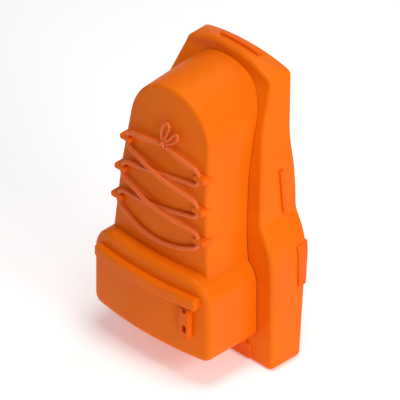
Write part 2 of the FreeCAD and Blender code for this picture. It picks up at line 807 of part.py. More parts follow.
def arch_face_y(x, z):
    """Front of the arch at a place."""
    knee = value("dims.arch_knee_z")
    slope = 0.152 if z > knee else 0.0676
    return -value("dims.arch_knee_y") + slope * (z - knee) + x * x / (2 * value("dims.crown_radius"))


def bore_x(height):
    """Where the cord goes down through an anchor of the row at a height."""
    return 86 + (403 - height) * 0.084


def make_cord_anchors(outer):
    """Six guide blocks seated on the arch's front edges, each bored for the cord."""
    blocks = []
    for height in ROWS:
        x = bore_x(height)
        y = arch_face_y(x, height)
        low = (f"{x} - 11", f"{y} - dims.anchor_rise", f"{height} - dims.anchor_height / 2")
        high = (f"{x} - 11 + dims.anchor_width", f"{y} + 14", f"{height} + dims.anchor_height / 2")
        block = box(f"anchor_block_{height}", low, high)
        soft = rounded(f"anchor_soft_{height}", block, "3.4")
        bore = rod(f"anchor_bore_{height}", "dims.anchor_bore", "40", (f"{x}", f"{y} - 7", f"{height} - 20"))
        right = cut(f"anchor_{height}", soft, bore)
        blocks += [right, mirror(f"anchor_twin_{height}", right)]
    return cut("anchors", group("anchor_blocks", *blocks), outer)


# the cord's route, chosen by hand: from the knot round the left and right anchors and back to the knot
LACING_ROUTE = [
    (-7.3, -88, 430.5), (-46, -92, 426), (-86, -87.2, 418), (-86, -87.2, 388),
    (0, -105, 376),
    (91, -95.2, 358), (91, -95.2, 328),
    (0, -102, 309),
    (-96, -98.6, 299), (-96, -98.6, 269), (-50, -104.5, 250), (0, -106, 243), (50, -104.5, 250),
    (96, -98.6, 269), (96, -98.6, 299),
    (0, -111, 309),
    (-91, -95.2, 328), (-91, -95.2, 358),
    (0, -96.2, 376),
    (86, -87.2, 388), (86, -87.2, 418), (46, -92, 426), (7.3, -88, 430.5),
]
LEFT_LOOP_ROUTE = [(-3, -88, 441), (-7, -86, 454), (-1, -84, 472), (6, -82, 477), (11, -83, 468),
                   (6, -85.5, 452), (1, -88, 442)]
RIGHT_LOOP_ROUTE = [(5.7, -88, 441.4), (15, -87, 449), (24, -84.5, 463), (31, -84, 464), (33, -85, 456),
                    (24, -87, 445.5), (8.8, -88.5, 437)]


def rounded_path(points):
    """Straight runs through points, joined by tangent arcs as large as the runs allow."""
    points = [Vector(*point) for point in points]
    edges = []
    radii = []
    start = points[0]
    for before, corner, after in zip(points, points[1:], points[2:]):
        back = (before - corner)
        ahead = (after - corner)
        turn = math.pi - back.getAngle(ahead)
        reach = 0.45 * min(back.Length, ahead.Length)
        radius = reach / math.tan(turn / 2)
        radii.append(radius)
        back.normalize()
        ahead.normalize()
        enter = corner + back * reach
        leave = corner + ahead * reach
        inward = back + ahead
        inward.normalize()
        centre = corner + inward * (radius / math.cos(turn / 2))
        outward = corner - centre
        outward.normalize()
        edges.append(Part.LineSegment(start, enter).toShape())
        edges.append(Part.Arc(enter, centre + outward * radius, leave).toShape())
        start = leave
    edges.append(Part.LineSegment(start, points[-1]).toShape())
    return Part.Wire(edges), radii


def make_cord(name, points, diameter):
    """A round cord along a route, checked against its section times its length."""
    path, radii = rounded_path(points)
    first = Vector(*points[0])
    direction = Vector(*points[1]) - first
    section = Part.Wire(Part.makeCircle(diameter / 2, first, direction))
    shape = path.makePipeShell([section], True, True)
    expected = math.pi * diameter ** 2 / 4 * path.Length
    print(f"{name}: length {path.Length:.0f}, smallest radius {min(radii):.1f}, "
          f"volume {shape.Volume / expected:.4f} of section times length")
    cord = document.addObject("Part::Feature", name)
    cord.Shape = shape
    return cord


def make_bow():
    """The knot and the two loops that stand up out of it."""
    knot = rounded("knot", box("knot_block", ("-6.7", "-94", "427"), ("6.7", "-82.5", "439.5")), "4")
    left = make_cord("left_loop", LEFT_LOOP_ROUTE, 4.6)
    right = make_cord("right_loop", RIGHT_LOOP_ROUTE, 4.6)
    return knot, left, right


# ---------------------------------------------------------------- bottom hinge

def knuckles(name, spans):
    """Barrels of the hinge over spans of X."""
    return [rod(f"{name}_{index}", "dims.knuckle_radius", f"({last}) - ({first})",
                (first, "dims.hinge_y", "dims.hinge_z"), ALONG_X)
            for index, (first, last) in enumerate(spans)]


FIXED_SPANS = [("-dims.hinge_half", "-68"), ("-22", "22"), ("68", "dims.hinge_half")]
MOVING_SPANS = [("-68 + dims.side_gap", "-22 - dims.side_gap"), ("22 + dims.side_gap", "68 - dims.side_gap")]


def make_fixed_leaf():
    """The plate on the lower flange with three barrels; the pin is pressed into them."""
    outline = rectangle("-dims.leaf_half", "5", "dims.leaf_half", "36", "5")
    leaf = plate("fixed_leaf", "XZ", outline, "0", "3.5")
    soft = rounded("fixed_leaf_soft", leaf, "1.4", lambda middle: middle.y < -3)
    webs = [box(f"fixed_web_{index}", (first, "-6", "33"), (last, "0", "dims.hinge_z"))
            for index, (first, last) in enumerate(FIXED_SPANS)]
    bore = rod("fixed_bore", "dims.hinge_pin_radius", "300",
               ("-150", "dims.hinge_y", "dims.hinge_z"), ALONG_X)
    barrels = knuckles("fixed_knuckle", FIXED_SPANS)
    return cut("fixed_leaf_cut", fuse("fixed_leaf_fused", soft, *webs, *barrels), bore)


def make_moving_leaf():
    """The plate under the pocket with two barrels that turn on the pin."""
    leaf = plate("moving_leaf", "XY", rectangle("-dims.hinge_half", "-62", "dims.hinge_half", "-14", "4"),
                 "dims.pocket_foot_z - 3.2", "3.2")
    webs = [box(f"moving_web_{index}", (first, "-16", "46.5"), (last, "-5", "dims.pocket_foot_z"))
            for index, (first, last) in enumerate(MOVING_SPANS)]
    bore = rod("moving_bore", "dims.hinge_pin_radius + dims.pin_clearance", "300",
               ("-150", "dims.hinge_y", "dims.hinge_z"), ALONG_X)
    return cut("moving_leaf_cut", fuse("moving_leaf_fused", leaf, *webs,
                                       *knuckles("moving_knuckle", MOVING_SPANS)), bore)


def make_hinge_pin():
    return rod("hinge_pin_rod", "dims.hinge_pin_radius", "2 * dims.hinge_half + 2",
               ("-dims.hinge_half - 1", "dims.hinge_y", "dims.hinge_z"), ALONG_X)


# ---------------------------------------------------------------- harness

def make_yoke():
    """The plate across the shoulders with two pairs of lugs for the strap pins."""
    layer = common("yoke_layer_cut", back_layer("yoke_layer", "0", "4", "-92", "92", "470", "516"),
                   prism("yoke_outline", free_sketch("yoke_line", "XZ", rectangle(
                       "-88", "474", "88", "512", "14")), "20", "160"))
    lugs = []
    for side in (-1, 1):
        for first in (24, 76.5):
            low = min(side * first, side * (first + 5.5))
            lug = box(f"lug_{side + 1}_{int(first)}", (f"{low}", "119", "dims.strap_axis_z - 6"),
                      (f"{low} + 5.5", "dims.strap_axis_y + 5", "dims.strap_axis_z + 6"))
            lugs.append(rounded(f"lug_soft_{side + 1}_{int(first)}", lug, "2", lambda middle: middle.y > 130))
    bore = rod("yoke_bore", "dims.strap_pin_radius", "300",
               ("-150", "dims.strap_axis_y", "dims.strap_axis_z"), ALONG_X)
    return cut("yoke", fuse("yoke_fused", layer, *lugs), bore)


def make_rivets():
    """Six rivets that hold the yoke, with their heads on it."""
    rise = "(dims.back_top_y - dims.back_chest_y) / (dims.back_top_z - dims.back_chest_z)"
    lean = math.degrees(math.atan(value(rise)))
    heads = []
    for x in (-80, -52, -12, 12, 52, 80):
        heads.append(rod(f"rivet_{x}", "3.5", "1.6", (f"{x}", f"{back_y('488')} + 4", "488"),
                         Rotation(Vector(1, 0, 0), -90 - lean)))
    return group("rivets", *heads)


def make_strap(name):
    """The right shoulder strap: a hinged head and a pad that hangs behind the back."""
    inner = "dims.strap_rear_y - dims.strap_thickness"
    profile = [
        ("dims.strap_axis_y - 5.2", "dims.strap_axis_z", None),
        (inner, "dims.strap_axis_z - 32", "40"),
        (inner, "dims.strap_foot_z", "5"),
        ("dims.strap_rear_y", "dims.strap_foot_z", "5"),
        ("dims.strap_rear_y", "dims.strap_axis_z - 34", "40"),
        ("dims.strap_axis_y + 5.2", "dims.strap_axis_z", None),
    ]
    pad = plate(name + "_pad_piece", "YZ", profile, "dims.strap_inner_x", "dims.strap_width")
    head = rod(name + "_head", "dims.strap_head_radius", "dims.strap_width",
               ("dims.strap_inner_x", "dims.strap_axis_y", "dims.strap_axis_z"), ALONG_X)
    bore = rod(name + "_bore", "dims.strap_pin_radius + dims.pin_clearance", "200",
               ("-20", "dims.strap_axis_y", "dims.strap_axis_z"), ALONG_X)
    return cut(name + "_cut", fuse(name + "_fused", pad, head), bore)


def make_strap_webbing():
    """The flat webbing from the strap's foot towards the lower anchor."""
    return plate("webbing_right", "YZ", [
        ("137", "286", None), ("139.2", "286", None), ("106.6", "244", None), ("104.4", "244", None)],
        "dims.strap_inner_x + 10.5", "25")


def make_ladder_lock():
    """The frame buckle at the strap's foot."""
    frame = box("lock_block", ("dims.strap_inner_x + 5", "dims.strap_rear_y - 11", "dims.strap_foot_z - 14"),
                ("dims.strap_inner_x + 41", "dims.strap_rear_y - 1", "dims.strap_foot_z - 0.3"))
    slots = group("lock_slots",
                  box("lock_slot_low", ("dims.strap_inner_x + 9.5", "dims.strap_rear_y - 7.5", "270"),
                      ("dims.strap_inner_x + 36.5", "dims.strap_rear_y - 4", "dims.strap_foot_z - 4")),
                  box("lock_slot_high", ("dims.strap_inner_x + 9.5", "130", "dims.strap_foot_z - 10"),
                      ("dims.strap_inner_x + 36.5", "150", "dims.strap_foot_z - 7")))
    return cut("ladder_lock", rounded("lock_soft", frame, "1.5"), slots)


def make_lower_anchor():
    """A foot on the back with a bar that the webbing comes down to."""
    base = back_layer("lower_anchor_base", "0", "3", "34", "72", "234", "258")
    arms = [box(f"lower_arm_{int(x)}", (f"{x}", "88", "240"), (f"{x} + 4", "101", "248")) for x in (35, 67)]
    bar = rod("lower_bar", "2.5", "36", ("35", "98.5", "244"), ALONG_X)
    return cut("lower_anchor", fuse("lower_anchor_fused", base, *arms, bar), document.rear_outer)


def make_sternum_rail():
    """A rail on the strap's inner edge, held at both ends."""
    rail = rod("rail_rod", "dims.rail_radius", "80", ("dims.rail_x", "138", "365"))
    ends = [box(f"rail_end_{z}", ("dims.rail_x - 3", "135", f"{z}"),
                ("dims.strap_inner_x", "141", f"{z} + 4")) for z in (363, 443)]
    return fuse("sternum_rail", rail, *ends)


def make_sternum_half(buckle_depth):
    """Slider, webbing and buckle half of the sternum strap, on the right."""
    slider = rounded("sternum_slider_soft", box("sternum_slider_block", ("dims.rail_x - 3.5", "134", "396"),
                                                ("dims.rail_x + 3", "142", "412")), "1.2")
    bore = rod("sternum_bore", "dims.rail_radius + dims.pin_clearance", "60", ("dims.rail_x", "138", "380"))
    webbing = box("sternum_web_block", ("12", "137.2", "397"), ("dims.rail_x - 3.5", "138.8", "411"))
    clip = rounded("sternum_clip_soft", box("sternum_clip_block", ("4", f"138 - {buckle_depth}", "395"),
                                            ("14.5", f"138 + {buckle_depth}", "413")), "1.6")
    return cut("sternum_slider", slider, bore), cut("sternum_web", webbing, clip), clip


def make_belt_band():
    """The band of the hip belt, across the back and round both rear edges."""
    wide = prism("belt_along", inset("belt_outline", document.rear_outline, "dims.belt_skin"), "20", "160")
    deep = prism("belt_across", inset("belt_profile", document.rear_profile, "dims.belt_skin"),
                 "dims.hip_half + 10", "dims.hip_half + 10")
    zone = box("belt_zone", ("-200", "dims.back_foot_y - 7", "dims.belt_foot_z"),
               ("200", "130", "dims.belt_top_z"))
    band = rounded("belt_soft", common("belt_block", wide, deep, zone), "8.5",
                   lambda middle: middle.y > 75 and abs(middle.x) > 150
                   and value("dims.belt_foot_z") + 5 < middle.z < value("dims.belt_top_z") - 5)
    brackets = []
    for side in (-1, 1):
        for foot, top in ((150, 160), (221, 231)):
            x = f"{side} * dims.belt_axis_x"
            arm = box(f"belt_arm_{side + 1}_{foot}", (f"{x} - 4.5", "82", f"{foot}"),
                      (f"{x} + 4.5", "dims.belt_axis_y", f"{top}"))
            knuckle = rod(f"belt_knuckle_{side + 1}_{foot}", "dims.knuckle_radius", f"{top - foot}",
                          (x, "dims.belt_axis_y", f"{foot}"))
            brackets += [arm, knuckle]
    bores = group("belt_bores", *[rod(f"belt_bore_{side + 1}", "dims.belt_pin_radius", "200",
                                      (f"{side} * dims.belt_axis_x", "dims.belt_axis_y", "100"))
                                  for side in (-1, 1)])
    return cut("belt_drilled", cut("belt", fuse("belt_fused", band, *brackets), document.rear_outer), bores)


def make_wing():
    """The padded wing of the hip belt on the right, folded across the back, with its knuckle."""
    low = "dims.belt_axis_y - dims.wing_thickness / 2"
    pad = plate("wing_pad", "XZ", [
        ("dims.wing_tip_x", "dims.belt_foot_z + 18", "12"),
        ("dims.belt_axis_x - 2", "dims.belt_foot_z + 10.5", None),
        ("dims.belt_axis_x - 2", "dims.belt_top_z - 10.5", None),
        ("dims.wing_tip_x", "dims.belt_top_z - 18", "12")],
        f"-({low}) - dims.wing_thickness", "dims.wing_thickness")
    soft = rounded("wing_soft", pad, "3", lambda middle: middle.x < value("dims.belt_axis_x") - 6)
    knuckle = rod("wing_knuckle", "dims.knuckle_radius", "dims.belt_top_z - dims.belt_foot_z - 21",
                  ("dims.belt_axis_x", "dims.belt_axis_y", "dims.belt_foot_z + 10.5"))
    bore = rod("wing_bore", "dims.belt_pin_radius + dims.pin_clearance", "200",
               ("dims.belt_axis_x", "dims.belt_axis_y", "100"))
    return cut("wing", fuse("wing_fused", soft, knuckle), bore)


def make_hip_buckle(depth):
    """One half of the hip buckle at the tip of the right wing."""
    return rounded("hip_buckle_soft", box("hip_buckle_block", ("4", f"dims.belt_axis_y - {depth}", "176"),
                                          ("22", f"dims.belt_axis_y + {depth}", "205")), "2")


# ---------------------------------------------------------------- assembly

arch_sketch, pocket_sketch = cover_outlines()
GRIPS = grip_frames()
publish(make_rear_shell_with_holes(arch_sketch, pocket_sketch), "rear_shell")
publish(make_seal(arch_sketch, pocket_sketch), "closure_seal")
publish(back_layer("sheet_layer", "-dims.wall - 2.2", "-dims.wall - 0.2", "-105", "105", "60", "500"),
        "frame_sheet")
stay = publish(back_layer("stay_layer", "-dims.wall - 5.6", "-dims.wall - 2.3", "45", "70", "70", "490"),
               "stay_right")
publish(mirror("stay_twin", stay), "stay_left")
HANDLES = ("top_handle", "side_handle_left", "side_handle_right")
for (grip_frame, grip_half), handle_name in zip(GRIPS, HANDLES):
    publish(make_handle(handle_name + "_piece", grip_frame, grip_half), handle_name)
    publish(make_sockets(handle_name + "_socket", grip_frame, grip_half), handle_name + "_sockets")
cover_outer = make_cover_outer(arch_sketch, pocket_sketch)
publish(make_front_shell(cover_outer, arch_sketch, pocket_sketch), "front_shell")
publish(make_pocket_liner(pocket_sketch), "pocket_liner")
publish(crowned_strip("tape", "-3", "-4.2", "dims.zip_z - 13", "dims.zip_z + 13", "dims.flap_angle - 0.3"),
        "zip_tape")
publish(crowned_strip("teeth", "0.8", "-3", "dims.zip_z - 2.5", "dims.zip_z + 2.5", "dims.flap_angle - 0.7"),
        "zip_teeth")
publish(make_storm_flap(), "storm_flap")
publish(make_zip_slider(), "zip_slider")
publish(make_zip_pull(), "zip_pull")
publish(make_pull_pin(), "zip_pull_pin")
publish(make_cord_anchors(cover_outer), "cord_anchors")
publish(make_cord("lacing", LACING_ROUTE, value("dims.cord_diameter")), "lacing_cord")
for bow_piece, bow_name in zip(make_bow(), ("lacing_knot", "lacing_loop_left", "lacing_loop_right")):
    publish(bow_piece, bow_name)
publish(make_fixed_leaf(), "hinge_leaf_fixed")
publish(make_moving_leaf(), "hinge_leaf_moving")
publish(make_hinge_pin(), "hinge_pin")
back_pad = publish(back_layer("back_pad", "0", "dims.pad_thickness", "12", "94", "264", "468"),
                   "back_pad_right")
publish(mirror("back_pad_twin", back_pad), "back_pad_left")
publish(back_layer("lumbar_layer", "0", "dims.pad_thickness", "-76", "76", "56", "142"), "lumbar_pad")
publish(make_yoke(), "strap_yoke")
publish(make_rivets(), "yoke_rivets")
publish(make_belt_band(), "belt_band")
sternum_slider, sternum_web, sternum_clip = make_sternum_half("3.5")
belt_pin = rod("belt_pin_rod", "dims.belt_pin_radius", "dims.belt_top_z - dims.belt_foot_z",
               ("dims.belt_axis_x", "dims.belt_axis_y", "dims.belt_foot_z"))
strap_pin = rod("strap_pin_rod", "dims.strap_pin_radius", "58",
                ("24", "dims.strap_axis_y", "dims.strap_axis_z"), ALONG_X)
PAIRS = [
    (strap_pin, "strap_pin"),
    (make_strap("strap"), "shoulder_strap"),
    (make_strap_webbing(), "strap_webbing"),
    (make_ladder_lock(), "ladder_lock"),
    (make_lower_anchor(), "lower_anchor"),
    (make_sternum_rail(), "sternum_rail"),
    (sternum_slider, "sternum_slider"),
    (sternum_web, "sternum_webbing"),
    (sternum_clip, "sternum_clip"),
    (belt_pin, "belt_pin"),
    (make_wing(), "hip_wing"),
    (make_hip_buckle("5"), "hip_buckle"),
]
for right_piece, pair_name in PAIRS:
    publish(right_piece, pair_name + "_right")
    publish(mirror(pair_name + "_twin", right_piece), pair_name + "_left")


def check_and_write():
    """Stops on anything that failed to build, then writes one STEP file for each node."""
    document.recompute()
    failed = [item.Name for item in document.Objects if {"Invalid", "Error"} & set(item.State)]
    for node in nodes:
        shape = node.Shape
        if shape.isNull() or not shape.isValid() or shape.Volume <= 0:
            failed.append(node.Label)
    if failed:
        raise SystemExit(f"failed to build: {failed}")
    os.makedirs("parts", exist_ok=True)
    for node in nodes:
        node.Shape.exportStep(f"parts/{node.Label}.step")
        print(f"{node.Label}: {len(node.Shape.Solids)} solids, {node.Shape.Volume / 1000:.1f} cm3")


check_and_write()
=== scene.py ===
import bpy
import json
import math
from mathutils import Matrix, Vector


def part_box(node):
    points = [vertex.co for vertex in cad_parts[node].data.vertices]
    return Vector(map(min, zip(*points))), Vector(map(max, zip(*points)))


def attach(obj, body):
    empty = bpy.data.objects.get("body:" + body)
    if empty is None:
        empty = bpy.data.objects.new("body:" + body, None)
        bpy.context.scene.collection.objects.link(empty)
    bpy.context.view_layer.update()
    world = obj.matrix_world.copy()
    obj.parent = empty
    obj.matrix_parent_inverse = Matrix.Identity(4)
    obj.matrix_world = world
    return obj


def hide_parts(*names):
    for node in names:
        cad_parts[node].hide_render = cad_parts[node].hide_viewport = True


# hiking backpack: moulded shells, laced front cover, zipped pocket, padded harness
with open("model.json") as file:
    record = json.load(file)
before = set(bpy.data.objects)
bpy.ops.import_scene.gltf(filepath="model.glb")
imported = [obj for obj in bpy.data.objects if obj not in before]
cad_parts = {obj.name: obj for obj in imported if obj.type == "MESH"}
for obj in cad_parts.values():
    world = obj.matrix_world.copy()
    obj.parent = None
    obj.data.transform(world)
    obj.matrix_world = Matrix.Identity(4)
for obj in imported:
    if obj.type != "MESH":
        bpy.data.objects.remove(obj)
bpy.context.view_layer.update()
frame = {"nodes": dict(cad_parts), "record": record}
nodes = frame["nodes"]
scene = bpy.context.scene
mm = 0.001
print("frame loaded:", len(nodes), "nodes")


# ---- small tools

def deselectAll():
    active = bpy.context.view_layer.objects.active
    if active and active.mode != "OBJECT":
        bpy.ops.object.mode_set(mode="OBJECT")
    bpy.ops.object.select_all(action="DESELECT")


def makeActive(piece):
    deselectAll()
    piece.select_set(True)
    bpy.context.view_layer.objects.active = piece


def editAll(piece):
    makeActive(piece)
    bpy.ops.object.mode_set(mode="EDIT")
    bpy.ops.mesh.select_mode(type="VERT")
    bpy.ops.mesh.select_all(action="SELECT")


def editDone():
    bpy.ops.object.mode_set(mode="OBJECT")


def applyPlace(piece):
    makeActive(piece)
    bpy.ops.object.transform_apply(location=True, rotation=True, scale=True)


def applyModifier(piece, kind, **settings):
    makeActive(piece)
    modifier = piece.modifiers.new(kind.lower(), kind)
    for setting, value in settings.items():
        setattr(modifier, setting, value)
    bpy.ops.object.modifier_apply(modifier=modifier.name)


def fixNormals(piece):
    editAll(piece)
    bpy.ops.mesh.normals_make_consistent(inside=False)
    editDone()


def copyNode(nodeName, pieceName):
    # a CAD mesh is loose triangles, so its copy is merged first
    piece = nodes[nodeName].copy()
    piece.data = nodes[nodeName].data.copy()
    piece.name = pieceName
    piece.data.name = pieceName
    scene.collection.objects.link(piece)
    piece.parent = None
    piece.matrix_world = Matrix.Identity(4)
    editAll(piece)
    bpy.ops.mesh.customdata_custom_splitnormals_clear()
    bpy.ops.mesh.remove_doubles(threshold=0.02 * mm)
    editDone()
    return piece


def keepOneSide(piece, point, normal):
    # cuts with a plane and drops what lies on the side the normal points to
    editAll(piece)
    bpy.ops.mesh.bisect(plane_co=point, plane_no=normal, use_fill=True, clear_outer=True)
    editDone()


def mirrorCopy(piece, name):
    twin = piece.copy()
    twin.data = piece.data.copy()
    twin.name = name
    scene.collection.objects.link(twin)
    twin.parent = None
    twin.matrix_world = Matrix.Diagonal((-1, 1, 1, 1))
    applyPlace(twin)
    fixNormals(twin)
    return twin


def joinPieces(pieces, name):
    deselectAll()
    for piece in pieces:
        piece.select_set(True)
    bpy.context.view_layer.objects.active = pieces[0]
    if len(pieces) > 1:
        bpy.ops.object.join()
    pieces[0].name = name
    pieces[0].data.name = name
    return pieces[0]


def finishPiece(piece, material, body, replaced=(), angle=40):
    piece.data.materials.clear()
    piece.data.materials.append(material)
    makeActive(piece)
    bpy.ops.object.shade_smooth_by_angle(angle=math.radians(angle))
    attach(piece, body)
    if replaced:
        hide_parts(*replaced)


def bothSides(piece, material, body, replaced=(), angle=40):
    # finishes a right-hand piece and its mirrored twin on the left
    twin = mirrorCopy(piece, piece.name.replace("Right", "Left"))
    for side, owner in (("right", piece), ("left", twin)):
        finishPiece(owner, material, body.replace("right", side),
                    [name.replace("right", side) for name in replaced], angle)


def makeTube(name, points, radius, sides=12, closed=False):
    # a round bar along points, with a UV map: U along it in metres, V once round it
    curve = bpy.data.curves.new(name, "CURVE")
    curve.dimensions = "3D"
    curve.bevel_depth = radius
    curve.bevel_resolution = sides // 2 - 2
    curve.use_fill_caps = not closed
    spline = curve.splines.new("POLY")
    spline.points.add(len(points) - 1)
    for point, place in zip(spline.points, points):
        point.co = (*place, 1)
    spline.use_cyclic_u = closed
    tube = bpy.data.objects.new(name, curve)
    scene.collection.objects.link(tube)
    makeActive(tube)
    bpy.ops.object.convert(target="MESH")
    tube = bpy.context.object
    lengths = [0]
    for before, after in zip(points, points[1:]):
        lengths.append(lengths[-1] + (Vector(after) - Vector(before)).length)
    mesh = tube.data
    while mesh.uv_layers:
        mesh.uv_layers.remove(mesh.uv_layers[0])
    layer = mesh.uv_layers.new(name="route")
    for face in mesh.polygons:
        around = [mesh.loops[loop].vertex_index % sides for loop in face.loop_indices]
        wraps = max(around) - min(around) > sides / 2
        for loop, step in zip(face.loop_indices, around):
            ring = min(mesh.loops[loop].vertex_index // sides, len(lengths) - 1)
            turn = 1 if wraps and step == 0 else step / sides
            layer.data[loop].uv = (lengths[ring], turn)
    return tube


def routePoints(corners, step):
    # straight runs through corners in mm, joined by tangent arcs, sampled evenly in metres
    corners = [Vector(corner) * mm for corner in corners]
    fine = [corners[0]]
    for before, corner, after in zip(corners, corners[1:], corners[2:]):
        back, ahead = before - corner, after - corner
        reach = 0.45 * min(back.length, ahead.length)
        turn = math.pi - back.angle(ahead)
        radius = reach / math.tan(turn / 2)
        enter, leave = corner + back.normalized() * reach, corner + ahead.normalized() * reach
        inward = (back.normalized() + ahead.normalized()).normalized()
        centre = corner + inward * (radius / math.cos(turn / 2))
        for share in range(17):
            spoke = (enter - centre).slerp(leave - centre, share / 16)
            fine.append(centre + spoke.normalized() * radius)
    fine.append(corners[-1])
    return evenPoints(fine, step)


def evenPoints(points, step):
    total = sum((after - before).length for before, after in zip(points, points[1:]))
    count = max(2, round(total / step))
    even, walked, index = [points[0]], 0, 0
    for number in range(1, count):
        target = total * number / count
        while walked + (points[index + 1] - points[index]).length < target:
            walked += (points[index + 1] - points[index]).length
            index += 1
        leg = points[index + 1] - points[index]
        even.append(points[index] + leg * ((target - walked) / leg.length))
    even.append(points[-1])
    return even


def makeStrip(name, path, across, width, thickness, softness=0.4):
    # flat webbing: one edge of a plane is extruded along the path, then given its thickness
    across = Vector(across).normalized() * width / 2
    deselectAll()
    bpy.ops.mesh.primitive_plane_add(size=1)
    strip = bpy.context.object
    strip.name = name
    strip.data.name = name
    corners = [path[0] - across, path[0] + across, path[1] - across, path[1] + across]
    for vertex, place in zip(strip.data.vertices, corners):
        vertex.co = place
    strip.matrix_world = Matrix.Identity(4)
    for before, after in zip(path[1:], path[2:]):
        editAll(strip)
        bpy.ops.mesh.select_all(action="DESELECT")
        editDone()
        for vertex in strip.data.vertices:
            beside = (vertex.co - before).project(across)
            vertex.select = (vertex.co - before - beside).length < 0.01 * mm
        strip.data.update()
        bpy.ops.object.mode_set(mode="EDIT")
        bpy.ops.mesh.select_mode(type="EDGE")
        bpy.ops.mesh.extrude_edges_move(TRANSFORM_OT_translate={"value": after - before})
        editDone()
    applyModifier(strip, "SOLIDIFY", thickness=thickness, offset=0)
    fixNormals(strip)
    applyModifier(strip, "BEVEL", width=softness * mm, segments=2, limit_method="ANGLE",
                  angle_limit=math.radians(50))
    return strip


def arcPath(centre, radius, first, last, steps):
    # points round an axis along X, angles in degrees from +Y towards +Z
    angles = [math.radians(first + (last - first) * step / steps) for step in range(steps + 1)]
    return [centre + Vector((0, math.cos(angle) * radius, math.sin(angle) * radius)) for angle in angles]


def roundedRectangle(lowX, lowZ, highX, highZ, radius, steps=8):
    # points of a rounded rectangle in X and Z, for edge binding and seams
    corners = [(highX - radius, highZ - radius, 0), (lowX + radius, highZ - radius, 90),
               (lowX + radius, lowZ + radius, 180), (highX - radius, lowZ + radius, 270)]
    outline = []
    for centreX, centreZ, start in corners:
        for step in range(steps + 1):
            angle = math.radians(start + 90 * step / steps)
            outline.append((centreX + radius * math.cos(angle), centreZ + radius * math.sin(angle)))
    return outline


def makeStitches(name, rows, outward, length=3.2, pitch=4.6, width=0.9):
    # runs of thread: one capsule of a few faces is modelled, then copied along each row
    stitches = []
    deselectAll()
    bpy.ops.mesh.primitive_uv_sphere_add(segments=6, ring_count=4, radius=0.5)
    thread = bpy.context.object
    for row in rows:
        row = evenPoints([Vector(place) for place in row], pitch * mm)
        for before, after in zip(row, row[1:]):
            stitch = thread.copy()
            stitch.data = thread.data.copy()
            scene.collection.objects.link(stitch)
            run = (after - before).normalized()
            stitch.scale = (width * mm, width * mm, length * mm)
            stitch.rotation_mode = "QUATERNION"
            stitch.rotation_quaternion = run.to_track_quat("Z", "Y")
            stitch.location = (before + after) / 2 + Vector(outward) * 0.1 * mm
            stitches.append(stitch)
    bpy.data.objects.remove(thread)
    joined = joinPieces(stitches, name)
    applyPlace(joined)
    return joined


# ---- materials

def colour(code):
    # sRGB hex to the linear values Blender works in
    parts = [int(code[start:start + 2], 16) / 255 for start in (0, 2, 4)]
    return (*[part / 12.92 if part <= 0.04045 else ((part + 0.055) / 1.055) ** 2.4 for part in parts], 1)


def addNode(material, kind, inputs=None, **settings):
    node = material.node_tree.nodes.new("ShaderNode" + kind)
    for setting, value in settings.items():
        setattr(node, setting, value)
    for socket, source in (inputs or {}).items():
        if isinstance(source, bpy.types.NodeSocket):
            material.node_tree.links.new(source, node.inputs[socket])
        else:
            node.inputs[socket].default_value = source
    return node


def startMaterial(name, shaderInputs):
    material = bpy.data.materials.new(name)
    material.use_nodes = True
    material.node_tree.nodes.clear()
    shader = addNode(material, "BsdfPrincipled", shaderInputs)
    addNode(material, "OutputMaterial", {"Surface": shader.outputs[0]})
    place = addNode(material, "TexCoord").outputs["Object"]
    return material, shader, place


def joinTo(material, source, shader, socket):
    material.node_tree.links.new(source, shader.inputs[socket])


def blendColours(material, shader, factor, low, high, darkAt=0.3, lightAt=0.7):
    ramp = addNode(material, "ValToRGB", {"Fac": factor})
    ramp.color_ramp.elements[0].position = darkAt
    ramp.color_ramp.elements[0].color = colour(low)
    ramp.color_ramp.elements[1].position = lightAt
    ramp.color_ramp.elements[1].color = colour(high)
    joinTo(material, ramp.outputs["Color"], shader, "Base Color")


def spreadRoughness(material, shader, factor, low, high):
    spread = addNode(material, "MapRange", {"Value": factor, "To Min": low, "To Max": high})
    joinTo(material, spread.outputs["Result"], shader, "Roughness")


def raiseSurface(material, shader, height, distance, strength=1.0):
    bump = addNode(material, "Bump", {"Height": height, "Distance": distance, "Strength": strength})
    joinTo(material, bump.outputs["Normal"], shader, "Normal")


def mouldedShell(name, low, high, grain, roughness):
    # ABS shell, injection moulded in a spark-eroded tool: satin, with a fine even grain
    # that breaks the highlight up; real grain is 0.4 mm, drawn at about 2 mm so that it shows
    material, shader, place = startMaterial(name, {"IOR": 1.5, "Coat Weight": 0.05, "Coat Roughness": 0.16,
                                                   "Specular IOR Level": 0.06})
    cloud = addNode(material, "TexNoise", {"Vector": place, "Scale": 9.0, "Detail": 3.0})
    blendColours(material, shader, cloud.outputs["Fac"], low, high)
    fine = addNode(material, "TexNoise", {"Vector": place, "Scale": grain, "Detail": 4.0, "Roughness": 0.6})
    spreadRoughness(material, shader, fine.outputs["Fac"], roughness - 0.07, roughness + 0.1)
    raiseSurface(material, shader, fine.outputs["Fac"], 0.35 * mm, 0.55)
    return material


